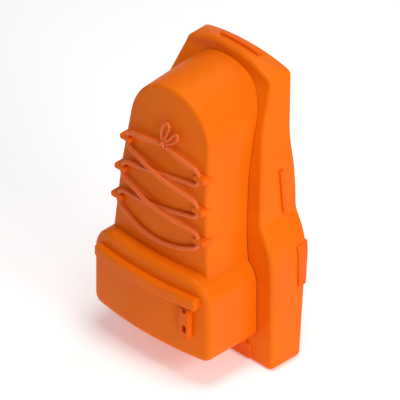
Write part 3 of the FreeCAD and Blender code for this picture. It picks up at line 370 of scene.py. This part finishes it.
def braidedCord(name, low, high):
    # polyester braid, 7.6 mm: strands cross in both directions; the UV map follows the cord
    material, shader, place = startMaterial(name, {"IOR": 1.5, "Sheen Weight": 0.25, "Sheen Roughness": 0.4})
    route = addNode(material, "UVMap", uv_map="route").outputs["UV"]
    parts = addNode(material, "SeparateXYZ", {"Vector": route})
    waves = []
    for sign in (1, -1):
        along = addNode(material, "Math", {0: parts.outputs["X"], 1: sign * 520.0}, operation="MULTIPLY")
        around = addNode(material, "Math", {0: parts.outputs["Y"], 1: 8 * math.pi}, operation="MULTIPLY")
        phase = addNode(material, "Math", {0: along.outputs[0], 1: around.outputs[0]}, operation="ADD")
        waves.append(addNode(material, "Math", {0: phase.outputs[0]}, operation="SINE").outputs[0])
    crossing = addNode(material, "Math", {0: waves[0], 1: waves[1]}, operation="MULTIPLY")
    level = addNode(material, "MapRange", {"Value": crossing.outputs[0], "From Min": -1.0, "From Max": 1.0})
    fuzz = addNode(material, "TexNoise", {"Vector": place, "Scale": 2400.0, "Detail": 2.0})
    height = addNode(material, "Math", {0: level.outputs[0], 1: fuzz.outputs["Fac"]}, operation="ADD")
    # painted shade and painted highlight: the colour is darker in the valleys between strands and lighter on
    # the crossing strands
    blendColours(material, shader, level.outputs[0], low, high, 0.1, 0.75)
    spreadRoughness(material, shader, fuzz.outputs["Fac"], 0.5, 0.75)
    raiseSurface(material, shader, height.outputs[0], 0.3 * mm, 0.7)
    return material


def wovenWebbing(name, low, high, pitch):
    # nylon webbing: warp and weft cross at the given pitch; the colour is painted lighter on the high threads
    # (painted highlight) and darker on the low ones (painted shade)
    material, shader, place = startMaterial(name, {"IOR": 1.53, "Sheen Weight": 0.2,
                                                   "Sheen Roughness": 0.4})
    parts = addNode(material, "SeparateXYZ", {"Vector": place})
    threads = []
    for axis in ("X", "Z"):
        phase = addNode(material, "Math", {0: parts.outputs[axis], 1: 2 * math.pi / pitch},
                        operation="MULTIPLY")
        threads.append(addNode(material, "Math", {0: phase.outputs[0]}, operation="SINE").outputs[0])
    weave = addNode(material, "Math", {0: threads[0], 1: threads[1]}, operation="MULTIPLY")
    level = addNode(material, "MapRange", {"Value": weave.outputs[0], "From Min": -1.0, "From Max": 1.0})
    worn = addNode(material, "TexNoise", {"Vector": place, "Scale": 60.0, "Detail": 3.0})
    # painted highlight and painted shade of the threads, times random wear
    paintedThreadLightAndWear = addNode(material, "Math", {0: level.outputs[0], 1: worn.outputs["Fac"]}, operation="MULTIPLY")
    blendColours(material, shader, paintedThreadLightAndWear.outputs[0], low, high, 0.05, 0.6)
    spreadRoughness(material, shader, worn.outputs["Fac"], 0.55, 0.8)
    raiseSurface(material, shader, level.outputs[0], 0.35 * mm, 0.7)
    return material


def spacerMesh(name, low, high):
    # knitted spacer mesh over foam: open cells about 4 mm across with round, soft edges
    material, shader, place = startMaterial(name, {"IOR": 1.5, "Sheen Weight": 0.3, "Sheen Roughness": 0.5})
    cells = addNode(material, "TexVoronoi", {"Vector": place, "Scale": 230.0, "Randomness": 0.25})
    rim = addNode(material, "MapRange", {"Value": cells.outputs["Distance"], "From Min": 0.15,
                                         "From Max": 0.55}, interpolation_type="SMOOTHSTEP")
    fibre = addNode(material, "TexNoise", {"Vector": place, "Scale": 1500.0, "Detail": 2.0})
    height = addNode(material, "Math", {0: rim.outputs[0], 1: fibre.outputs["Fac"], 2: 0.3},
                     operation="MULTIPLY_ADD")
    # painted shade: the colour darkens into each open cell's hollow middle and is lightest on the rims
    blendColours(material, shader, rim.outputs[0], low, high, 0.0, 1.0)
    spreadRoughness(material, shader, fibre.outputs["Fac"], 0.65, 0.9)
    raiseSurface(material, shader, height.outputs[0], 0.8 * mm, 0.8)
    return material


def plainSheet(name, low, high, scale, roughness, depth):
    # extruded or cast sheet and rubber: matt, with slow colour drift and a slight skin
    material, shader, place = startMaterial(name, {"IOR": 1.5})
    drift = addNode(material, "TexNoise", {"Vector": place, "Scale": 12.0, "Detail": 2.0})
    blendColours(material, shader, drift.outputs["Fac"], low, high)
    skin = addNode(material, "TexNoise", {"Vector": place, "Scale": scale, "Detail": 3.0})
    spreadRoughness(material, shader, skin.outputs["Fac"], roughness - 0.08, roughness + 0.08)
    raiseSurface(material, shader, skin.outputs["Fac"], depth, 0.5)
    return material


def brushedMetal(name, low, high, stretch):
    # drawn bar: long fine lines along the piece
    material, shader, place = startMaterial(name, {"Metallic": 1.0})
    lined = addNode(material, "Mapping", {"Vector": place, "Scale": stretch})
    lines = addNode(material, "TexNoise", {"Vector": lined.outputs[0], "Scale": 900.0, "Detail": 3.0})
    blendColours(material, shader, lines.outputs["Fac"], low, high)
    spreadRoughness(material, shader, lines.outputs["Fac"], 0.25, 0.42)
    raiseSurface(material, shader, lines.outputs["Fac"], 0.05 * mm, 0.5)
    return material


finishes = {
    "shell": mouldedShell("mouldedAbsShell", "EB6805", "F17107", 420.0, 0.42),
    "trim": mouldedShell("mouldedNylonTrim", "EA6006", "F06A09", 620.0, 0.38),
    "cord": braidedCord("braidedPolyesterCord", "D65805", "F2700C"),
    "webbing": wovenWebbing("wovenNylonWebbing", "A8430B", "DD6412", 2.4 * mm),
    "pad": spacerMesh("knittedSpacerMesh", "8E3608", "D05A10"),
    "lining": plainSheet("polyethyleneSheet", "3A3A3C", "46464A", 500.0, 0.5, 0.1 * mm),
    "seal": plainSheet("siliconeSeal", "6B2A08", "7A300A", 800.0, 0.6, 0.1 * mm),
    "zip": plainSheet("acetalZip", "B54A0B", "C4520D", 900.0, 0.35, 0.05 * mm),
    "steel": brushedMetal("brushedSteel", "9A9A9C", "BDBDBF", (0.05, 1, 1)),
    "aluminium": brushedMetal("brushedAluminium", "B4B6B8", "CFD1D3", (1, 1, 0.05)),
}
bindingTape = wovenWebbing("ribbedBindingTape", "9C3D09", "C8560F", 1.6 * mm)
sewingThread = plainSheet("bondedNylonThread", "E98A3A", "F09A4C", 2000.0, 0.55, 0.05 * mm)

for entry in frame["record"]["subparts"]:
    cadNode = nodes[entry["node"]]
    cadNode.data.materials.clear()
    cadNode.data.materials.append(finishes[entry["material_slot"]])
print("materials made:", len(bpy.data.materials))


# ---- lacing: one cord from the knot round the six anchors and back to the knot

lacing = {
    "diameter": 7.6,
    "braidRelief": 0.16,
    "ringSpacing": 1.1,
    "sides": 20,
    "route": [
        (-7.3, -88, 430.5), (-46, -92, 426), (-86, -87.2, 418), (-86, -87.2, 388), (0, -105, 376),
        (91, -95.2, 358), (91, -95.2, 328), (0, -102, 309), (-96, -98.6, 299), (-96, -98.6, 269),
        (-50, -104.5, 250), (0, -106, 243), (50, -104.5, 250), (96, -98.6, 269), (96, -98.6, 299),
        (0, -111, 309), (-91, -95.2, 328), (-91, -95.2, 358), (0, -96.2, 376), (86, -87.2, 388),
        (86, -87.2, 418), (46, -92, 426), (7.3, -88, 430.5),
    ],
}
bow = {
    "diameter": 4.6,
    "leftLoop": [(-3, -88, 441), (-7, -86, 454), (-1, -84, 472), (6, -82, 477), (11, -83, 468),
                 (6, -85.5, 452), (1, -88, 442)],
    "rightLoop": [(5.7, -88, 441.4), (15, -87, 449), (24, -84.5, 463), (31, -84, 464), (33, -85, 456),
                  (24, -87, 445.5), (8.8, -88.5, 437)],
}
knot = {
    "centre": (0, -88, 433.5),
    "wraps": ((8, -2.3, 1.0), (-14, 2.4, 0.92)),
    "wrapSteps": 24,
    "wrapDepth": 3.5,
    "wrapHeight": 4.1,
    "wrapRadius": 2.15,
    "coreRadius": 2.6,
    "corePlaces": (-6, -3, 0, 3, 6),
    "sides": 16,
}


def makeCord(name, corners, diameter, replaced):
    points = routePoints(corners, lacing["ringSpacing"] * mm)
    sides = lacing["sides"]
    cord = makeTube(name, points, (diameter / 2 - lacing["braidRelief"]) * mm, sides)
    # the crossing strands stand out of the round
    relief = lacing["braidRelief"] * mm
    for ring, centre in enumerate(points):
        for step in range(sides):
            vertex = cord.data.vertices[ring * sides + step]
            along, around = ring * lacing["ringSpacing"] * 0.52, 8 * math.pi * step / sides
            level = math.sin(around + along) * math.sin(around - along)
            vertex.co += (vertex.co - centre).normalized() * relief * (level + 1) / 2
    finishPiece(cord, finishes["cord"], "front_cover", [replaced], 60)


makeCord("lacingCord", lacing["route"], lacing["diameter"], "lacing_cord")
makeCord("bowLoopLeft", bow["leftLoop"], bow["diameter"], "lacing_loop_left")
makeCord("bowLoopRight", bow["rightLoop"], bow["diameter"], "lacing_loop_right")


def makeKnot():
    # the middle of the bow: one wrap over the cord ends and one slanting wrap behind it
    centre = Vector(knot["centre"]) * mm
    wraps = []
    for slant, shift, reach in knot["wraps"]:
        points = []
        for step in range(knot["wrapSteps"]):
            angle = 2 * math.pi * step / knot["wrapSteps"]
            flat = Vector((shift * mm, math.cos(angle) * knot["wrapDepth"] * mm * reach,
                           math.sin(angle) * knot["wrapHeight"] * mm * reach))
            flat.x += math.sin(math.radians(slant)) * flat.z
            points.append(centre + flat)
        wraps.append(makeTube("wrap", points, knot["wrapRadius"] * mm, knot["sides"], True))
    places = [centre + Vector((x * mm, 0, 0)) for x in knot["corePlaces"]]
    core = makeTube("core", places, knot["coreRadius"] * mm, knot["sides"])
    tied = joinPieces(wraps + [core], "bowKnot")
    finishPiece(tied, finishes["cord"], "front_cover", ["lacing_knot"], 60)


makeKnot()
print("lacing tied")


# ---- pocket zip: a moulded coil under the storm flap

zipCoil = {
    "axisY": 559.0,
    "radius": 687.0,
    "halfAngle": 9.1,
    "height": 175.0,
    "pitch": 2.6,
    "tooth": (1.5, 2.4, 3.4),
    "toothBevel": 0.4,
    "rowShift": 0.25,
    "rowRise": 0.7,
}


def makeZipTeeth():
    deselectAll()
    bpy.ops.mesh.primitive_cube_add(size=1)
    tooth = bpy.context.object
    tooth.scale = [side * mm for side in zipCoil["tooth"]]
    applyPlace(tooth)
    editAll(tooth)
    bpy.ops.mesh.bevel(offset=zipCoil["toothBevel"] * mm, segments=1)
    editDone()
    pitchAngle = math.degrees(zipCoil["pitch"] / zipCoil["radius"])
    count = int(zipCoil["halfAngle"] / pitchAngle)
    row = []
    for side in (-1, 1):
        for index in range(-count, count + 1):
            angle = math.radians((index + side * zipCoil["rowShift"]) * pitchAngle)
            copy = tooth.copy()
            copy.data = tooth.data.copy()
            scene.collection.objects.link(copy)
            copy.location = Vector((math.sin(angle) * zipCoil["radius"],
                                    zipCoil["axisY"] - math.cos(angle) * zipCoil["radius"],
                                    zipCoil["height"] + side * zipCoil["rowRise"])) * mm
            copy.rotation_euler = (0, 0, angle)
            row.append(copy)
    bpy.data.objects.remove(tooth)
    teeth = joinPieces(row, "zipCoil")
    applyPlace(teeth)
    finishPiece(teeth, finishes["zip"], "front_cover", ["zip_teeth"], 30)


makeZipTeeth()


def crownPoints(bead):
    # points across the pocket's crowned front, which turns about the same upright axis as the zip
    points = []
    for step in range(41):
        angle = math.radians(bead["halfAngle"] * (step / 20 - 1))
        points.append(Vector((math.sin(angle) * bead["radius"],
                              zipCoil["axisY"] - math.cos(angle) * bead["radius"],
                              bead["height"])) * mm)
    return points


flapWelt = {"radius": 688.7, "halfAngle": 9.6, "height": 187.4, "thickness": 2.0}


def makeFlapWelt():
    # the sewn-in bead that the storm flap's top edge folds on
    welt = makeTube("flapWelt", crownPoints(flapWelt), flapWelt["thickness"] / 2 * mm, 12)
    finishPiece(welt, finishes["trim"], "front_cover", angle=60)


makeFlapWelt()

flapBead = {"radius": 701.6, "halfAngle": 9.45, "height": 170.5, "thickness": 3.6}


def makeFlapBead():
    # a moulded bead along the flap's face
    bead = makeTube("flapBead", crownPoints(flapBead), flapBead["thickness"] / 2 * mm, 14)
    finishPiece(bead, finishes["shell"], "flap", angle=60)


makeFlapBead()
print("zip coil made")


# ---- padded pieces

stuffing = {"voxel": 5.0, "shrink": 0.8, "pressure": 4, "frames": 20}


def swell(piece, cap, keepBack):
    # foam pushes the cover out: cloth under pressure, with each point's move capped
    applyModifier(piece, "REMESH", mode="VOXEL", voxel_size=stuffing["voxel"] * mm, use_smooth_shade=True)
    editAll(piece)
    bpy.ops.transform.shrink_fatten(value=-stuffing["shrink"] * mm)
    editDone()
    start = [vertex.co.copy() for vertex in piece.data.vertices]
    facing = [vertex.normal.copy() for vertex in piece.data.vertices]
    cloth = piece.modifiers.new("pressure", "CLOTH")
    cloth.settings.use_pressure = True
    cloth.settings.uniform_pressure_force = stuffing["pressure"]
    cloth.settings.effector_weights.gravity = 0
    cloth.point_cache.frame_start = 1
    cloth.point_cache.frame_end = stuffing["frames"]
    for step in range(1, stuffing["frames"] + 1):
        scene.frame_set(step)
    makeActive(piece)
    bpy.ops.object.modifier_apply(modifier="pressure")
    scene.frame_set(1)
    for vertex, place, normal in zip(piece.data.vertices, start, facing):
        move = vertex.co - place
        if move.length > cap * mm:
            move *= cap * mm / move.length
        if keepBack and normal.y < -0.3:
            move *= 0.0
        vertex.co = place + move
    applyModifier(piece, "SUBSURF", levels=1, render_levels=1)


def sewLines(piece, lines, width, depth, facing=1):
    # quilting: points near a line are drawn in towards the back of the pad
    for vertex in piece.data.vertices:
        if vertex.normal.y * facing < 0.2:
            continue
        for (startX, startZ), (endX, endZ) in lines:
            start, end = Vector((startX, startZ)) * mm, Vector((endX, endZ)) * mm
            point = Vector((vertex.co.x, vertex.co.z))
            run = end - start
            share = max(0, min(1, (point - start).dot(run) / run.length_squared))
            gap = (point - start - run * share).length
            vertex.co.y -= facing * depth * mm * math.exp(-(gap / (width * mm)) ** 2)
    piece.data.update()


def surfaceDepth(piece, x, z, fallback):
    # how far back the outer face of a piece stands at X and Z
    hit, place, normal, face = piece.ray_cast(Vector((x, 0.4, z)), Vector((0, -1, 0)))
    return place.y if hit else fallback


def bindEdge(name, outline, depth, radius=1.7):
    # a rolled binding round a pad; depth is a function of X and Z in metres
    points = [Vector((x * mm, depth(x * mm, z * mm), z * mm)) for x, z in outline]
    closed = points + [points[0]]
    return makeTube(name, evenPoints(closed, 3 * mm)[:-1], radius * mm, 10, True)


def stitchedLine(piece, start, end, steps, lift=0.2):
    row = []
    for step in range(steps + 1):
        x = (start[0] + (end[0] - start[0]) * step / steps) * mm
        z = (start[1] + (end[1] - start[1]) * step / steps) * mm
        row.append(Vector((x, surfaceDepth(piece, x, z, 0.1) + lift * mm, z)))
    return row


backPads = {"cap": 5, "channelWidth": 4.5, "channelDepth": 3.6, "channels": [(314, 6), (366, 0), (418, -6)],
            "innerX": 17, "outerX": 89, "fill": 0.7}


def makeBackPads():
    pad = copyNode("back_pad_right", "backPadRight")
    swell(pad, backPads["cap"], True)
    lines = [((backPads["innerX"] - 8, z - slope), (backPads["outerX"] + 8, z + slope))
             for z, slope in backPads["channels"]]
    sewLines(pad, lines, backPads["channelWidth"], backPads["channelDepth"])
    rows = [stitchedLine(pad, (backPads["innerX"] + 3, z - slope), (backPads["outerX"] - 3, z + slope), 16)
            for z, slope in backPads["channels"]]
    shell = nodes["rear_shell"]
    outline = roundedRectangle(13.5, 265.5, 92.5, 466.5, 14)
    binding = bindEdge("backPadBindingRight", outline, lambda x, z: surfaceDepth(shell, x, z, 0.1) + 2.2 * mm)
    stitches = makeStitches("backPadStitchesRight", rows, (0, 1, 0))
    bothSides(binding, bindingTape, "pack", angle=60)
    bothSides(stitches, sewingThread, "pack", angle=60)
    bothSides(pad, finishes["pad"], "pack", ["back_pad_right"], 60)


makeBackPads()

lumbar = {"cap": 5, "channelWidth": 4.5, "channelDepth": 3.4, "fill": 0.7}


def makeLumbarPad():
    pad = copyNode("lumbar_pad", "lumbarPad")
    swell(pad, lumbar["cap"], True)
    lines = [((x, 50), (x * 1.1, 150)) for x in (-26, 26)]
    sewLines(pad, lines, lumbar["channelWidth"], lumbar["channelDepth"])
    rows = [stitchedLine(pad, (x, 66), (x * 1.08, 132), 12) for x in (-26, 26)]
    stitches = makeStitches("lumbarStitches", rows, (0, 1, 0))
    finishPiece(stitches, sewingThread, "pack", angle=60)
    shell = nodes["rear_shell"]
    outline = roundedRectangle(-74.5, 57.5, 74.5, 140.5, 14)
    binding = bindEdge("lumbarBinding", outline, lambda x, z: surfaceDepth(shell, x, z, 0.1) + 2.2 * mm)
    finishPiece(binding, bindingTape, "pack", angle=60)
    finishPiece(pad, finishes["pad"], "pack", ["lumbar_pad"], 60)


makeLumbarPad()
print("back and lumbar pads stuffed")

strap = {
    "cap": 3,
    "topZ": 470,
    "fill": 0.7,
    "channelWidth": 3.0,
    "channelDepth": 2.2,
    "channelsX": (36.5, 69.5),
    "channelEnds": (306, 466),
    "stitchEnds": (312, 462),
    "bindingRadius": 1.9,
    "sleeveWidth": 44,
    "sleeveThickness": 1.6,
}


def makeShoulderStraps():
    low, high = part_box("shoulder_strap_right")
    pinLow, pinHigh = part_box("strap_pin_right")
    pin = (pinLow + pinHigh) / 2
    pin.x = (low.x + high.x) / 2
    pad = copyNode("shoulder_strap_right", "strapPadRight")
    keepOneSide(pad, (0, 0, strap["topZ"] * mm), (0, 0, 1))
    swell(pad, strap["cap"], False)
    foot, top = strap["channelEnds"]
    lines = [((x, foot), (x, top)) for x in strap["channelsX"]]
    for facing in (1, -1):
        sewLines(pad, lines, strap["channelWidth"], strap["channelDepth"], facing)
    foot, top = strap["stitchEnds"]
    rows = [stitchedLine(pad, (x, foot), (x, top), 30) for x in strap["channelsX"]]
    stitches = makeStitches("strapStitchesRight", rows, (0, 1, 0))
    middle = (high.y - 6 * mm)
    binding = bindEdge("strapBindingRight", roundedRectangle(30.8, 300.8, 75.2, strap["topZ"] - 1, 5),
                       lambda x, z: middle, strap["bindingRadius"])
    # the webbing sleeve that is folded round the pin and sewn into the pad
    down = [Vector((pin.x, middle - 3.2 * mm, (strap["topZ"] - 14) * mm)),
            Vector((pin.x, middle - 4.2 * mm, (strap["topZ"] + 4) * mm))]
    up = [Vector((pin.x, middle + 4.6 * mm, (strap["topZ"] + 4) * mm)),
          Vector((pin.x, middle + 3.6 * mm, (strap["topZ"] - 14) * mm))]
    fold = arcPath(pin, 4.2 * mm, 200, -20, 14)
    sleeve = makeStrip("strapSleeveRight", down + fold + up, (1, 0, 0), strap["sleeveWidth"] * mm,
                       strap["sleeveThickness"] * mm)
    bothSides(pad, finishes["pad"], "strap_right", ["shoulder_strap_right"], 60)
    bothSides(sleeve, finishes["webbing"], "strap_right")
    bothSides(stitches, sewingThread, "strap_right", angle=60)
    bothSides(binding, bindingTape, "strap_right", angle=60)


makeShoulderStraps()

strapWebbing = {"width": 25, "thickness": 1.8}


def makeStrapWebbing():
    # lower webbing: down from the pad's foot through the frame buckle to the bar of the lower anchor
    path = [Vector((53, y, z)) * mm for y, z in ((138.4, 298), (138.3, 286), (127, 271.5), (116, 257.5),
                                                (105.6, 244.6))]
    web = makeStrip("strapWebbingRight", path, (1, 0, 0), strapWebbing["width"] * mm,
                    strapWebbing["thickness"] * mm)
    bothSides(web, finishes["webbing"], "strap_right", ["strap_webbing_right"])
    centre = Vector((53, 98.5, 244)) * mm
    loop = makeStrip("anchorLoopRight", arcPath(centre, 3.5 * mm, -75, 235, 18), (1, 0, 0),
                     strapWebbing["width"] * mm, 1.5 * mm)
    bothSides(loop, finishes["webbing"], "pack")


makeStrapWebbing()

sternum = {"thickness": 1.5, "width": 13.5}


def makeSternumWebbing():
    low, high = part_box("sternum_webbing_right")
    middle = (low + high) / 2
    path = [Vector((x, middle.y, middle.z)) for x in (high.x, middle.x, low.x)]
    web = makeStrip("sternumWebRight", path, (0, 0, 1), sternum["width"] * mm, sternum["thickness"] * mm)
    rows = [[Vector((middle.x, high.y + 0.1 * mm, middle.z + z * mm)) for z in (-5.6, 5.6)]]
    stitches = makeStitches("sternumStitchesRight", rows, (0, 1, 0), 2.0, 2.8, 0.7)
    bothSides(web, finishes["webbing"], "sternum_right", ["sternum_webbing_right"])
    bothSides(stitches, sewingThread, "sternum_right", angle=60)


makeSternumWebbing()
print("shoulder straps sewn")

wing = {
    "cap": 3,
    "rootX": 124,
    "middleZ": 190.5,
    "fill": 0.7,
    "channelWidth": 3.0,
    "channelDepth": 2.0,
    "outline": (31, 168.5, 123, 212.5, 9),
    "spread": 0.32,
    "bindingRadius": 1.9,
    "sleeveWidth": 57,
    "sleeveThickness": 1.7,
    "tongueWidth": 22,
    "tongueThickness": 1.8,
}


def makeHipWings():
    low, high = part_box("hip_wing_right")
    pinLow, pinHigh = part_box("belt_pin_right")
    pin = (pinLow + pinHigh) / 2
    pad = copyNode("hip_wing_right", "hipPadRight")
    keepOneSide(pad, (wing["rootX"] * mm, 0, 0), (1, 0, 0))
    swell(pad, wing["cap"], False)
    middle = wing["middleZ"]
    lines = [((34, middle), (120, middle))]
    for facing in (1, -1):
        sewLines(pad, lines, wing["channelWidth"], wing["channelDepth"], facing)
    rows = [stitchedLine(pad, (40, middle), (118, middle), 16)]
    stitches = makeStitches("hipStitchesRight", rows, (0, 1, 0))
    # the wing is taller at its root, so the binding spreads towards it
    tipX, rootX = wing["outline"][0], wing["outline"][2]
    spread = [(x, middle + (z - middle) * (1 + wing["spread"] * (x - tipX) / (rootX - tipX)))
              for x, z in roundedRectangle(*wing["outline"])]
    binding = bindEdge("hipBindingRight", spread, lambda x, z: pin.y, wing["bindingRadius"])
    around = []
    for step in range(15):
        angle = math.radians(150 - 300 * step / 14)
        around.append(pin + Vector((math.cos(angle) * 4.0 * mm, math.sin(angle) * 4.0 * mm, 0)))
    path = ([pin + Vector((-22 * mm, 3.0 * mm, 0)), pin + Vector((-8 * mm, 3.0 * mm, 0))] + around
            + [pin + Vector((-8 * mm, -3.0 * mm, 0)), pin + Vector((-22 * mm, -3.0 * mm, 0))])
    sleeve = makeStrip("hipSleeveRight", path, (0, 0, 1), wing["sleeveWidth"] * mm,
                       wing["sleeveThickness"] * mm)
    tongue = makeStrip("hipTongueRight", [Vector((x * mm, pin.y, middle * mm)) for x in (36, 28, 20)],
                       (0, 0, 1), wing["tongueWidth"] * mm, wing["tongueThickness"] * mm)
    bothSides(pad, finishes["pad"], "wing_right", ["hip_wing_right"], 60)
    bothSides(sleeve, finishes["webbing"], "wing_right")
    bothSides(tongue, finishes["webbing"], "wing_right")
    bothSides(stitches, sewingThread, "wing_right", angle=60)
    bothSides(binding, bindingTape, "wing_right", angle=60)


makeHipWings()
print("hip wings sewn")


# ---- studio: pale floor, soft lights, the camera at a true isometric angle

studio = {
    "floorSize": 6.0,
    "floorColour": "FFFFFF",
    "skyStrength": 0.27,
    "azimuth": 45.0,
    "elevation": 35.264,
    "viewWidth": 0.68,
    "aim": (0, 0.0012, 0.2725),
    "distance": 3.0,
}


def makeFloor():
    deselectAll()
    bpy.ops.mesh.primitive_plane_add(size=studio["floorSize"], location=(0, 0, 0))
    floor = bpy.context.object
    floor.name = "studioFloor"
    material, shader, place = startMaterial("paleStudioFloor", {"Roughness": 0.9, "Specular IOR Level": 0.1,
                                                                "Emission Strength": 0.25})
    shader.inputs["Base Color"].default_value = colour(studio["floorColour"])
    floor.data.materials.append(material)


def addLight(name, azimuth, elevation, distance, size, power):
    light = bpy.data.lights.new(name, "AREA")
    light.shape = "DISK"
    light.size = size
    light.energy = power
    lamp = bpy.data.objects.new(name, light)
    scene.collection.objects.link(lamp)
    around, up = math.radians(azimuth), math.radians(elevation)
    back = Vector((math.sin(around) * math.cos(up), -math.cos(around) * math.cos(up), math.sin(up)))
    lamp.location = Vector((0, 0, 0.25)) + back * distance
    lamp.rotation_mode = "QUATERNION"
    lamp.rotation_quaternion = back.to_track_quat("Z", "Y")


def addCamera():
    around, up = math.radians(studio["azimuth"]), math.radians(studio["elevation"])
    back = Vector((math.sin(around) * math.cos(up), -math.cos(around) * math.cos(up), math.sin(up)))
    data = bpy.data.cameras.new("isometricCamera")
    data.type = "ORTHO"
    data.ortho_scale = studio["viewWidth"]
    data.clip_end = 20
    camera = bpy.data.objects.new("isometricCamera", data)
    scene.collection.objects.link(camera)
    camera.location = Vector(studio["aim"]) + back * studio["distance"]
    camera.rotation_mode = "QUATERNION"
    camera.rotation_quaternion = back.to_track_quat("Z", "Y")
    scene.camera = camera


makeFloor()
world = bpy.data.worlds.new("studioSky")
world.use_nodes = True
world.node_tree.nodes["Background"].inputs["Color"].default_value = (1, 1, 1, 1)
world.node_tree.nodes["Background"].inputs["Strength"].default_value = studio["skyStrength"]
scene.world = world
scene.view_settings.view_transform = "Standard"
addLight("keyRight", 84, 30, 2.2, 0.8, 16)
addLight("topSoft", 60, 80, 2.4, 1.2, 25)
addLight("frontGlint", 62, 10, 1.8, 0.25, 3.5)
addLight("backRim", 190, 45, 2.2, 1.0, 9)
addCamera()
print("studio set")
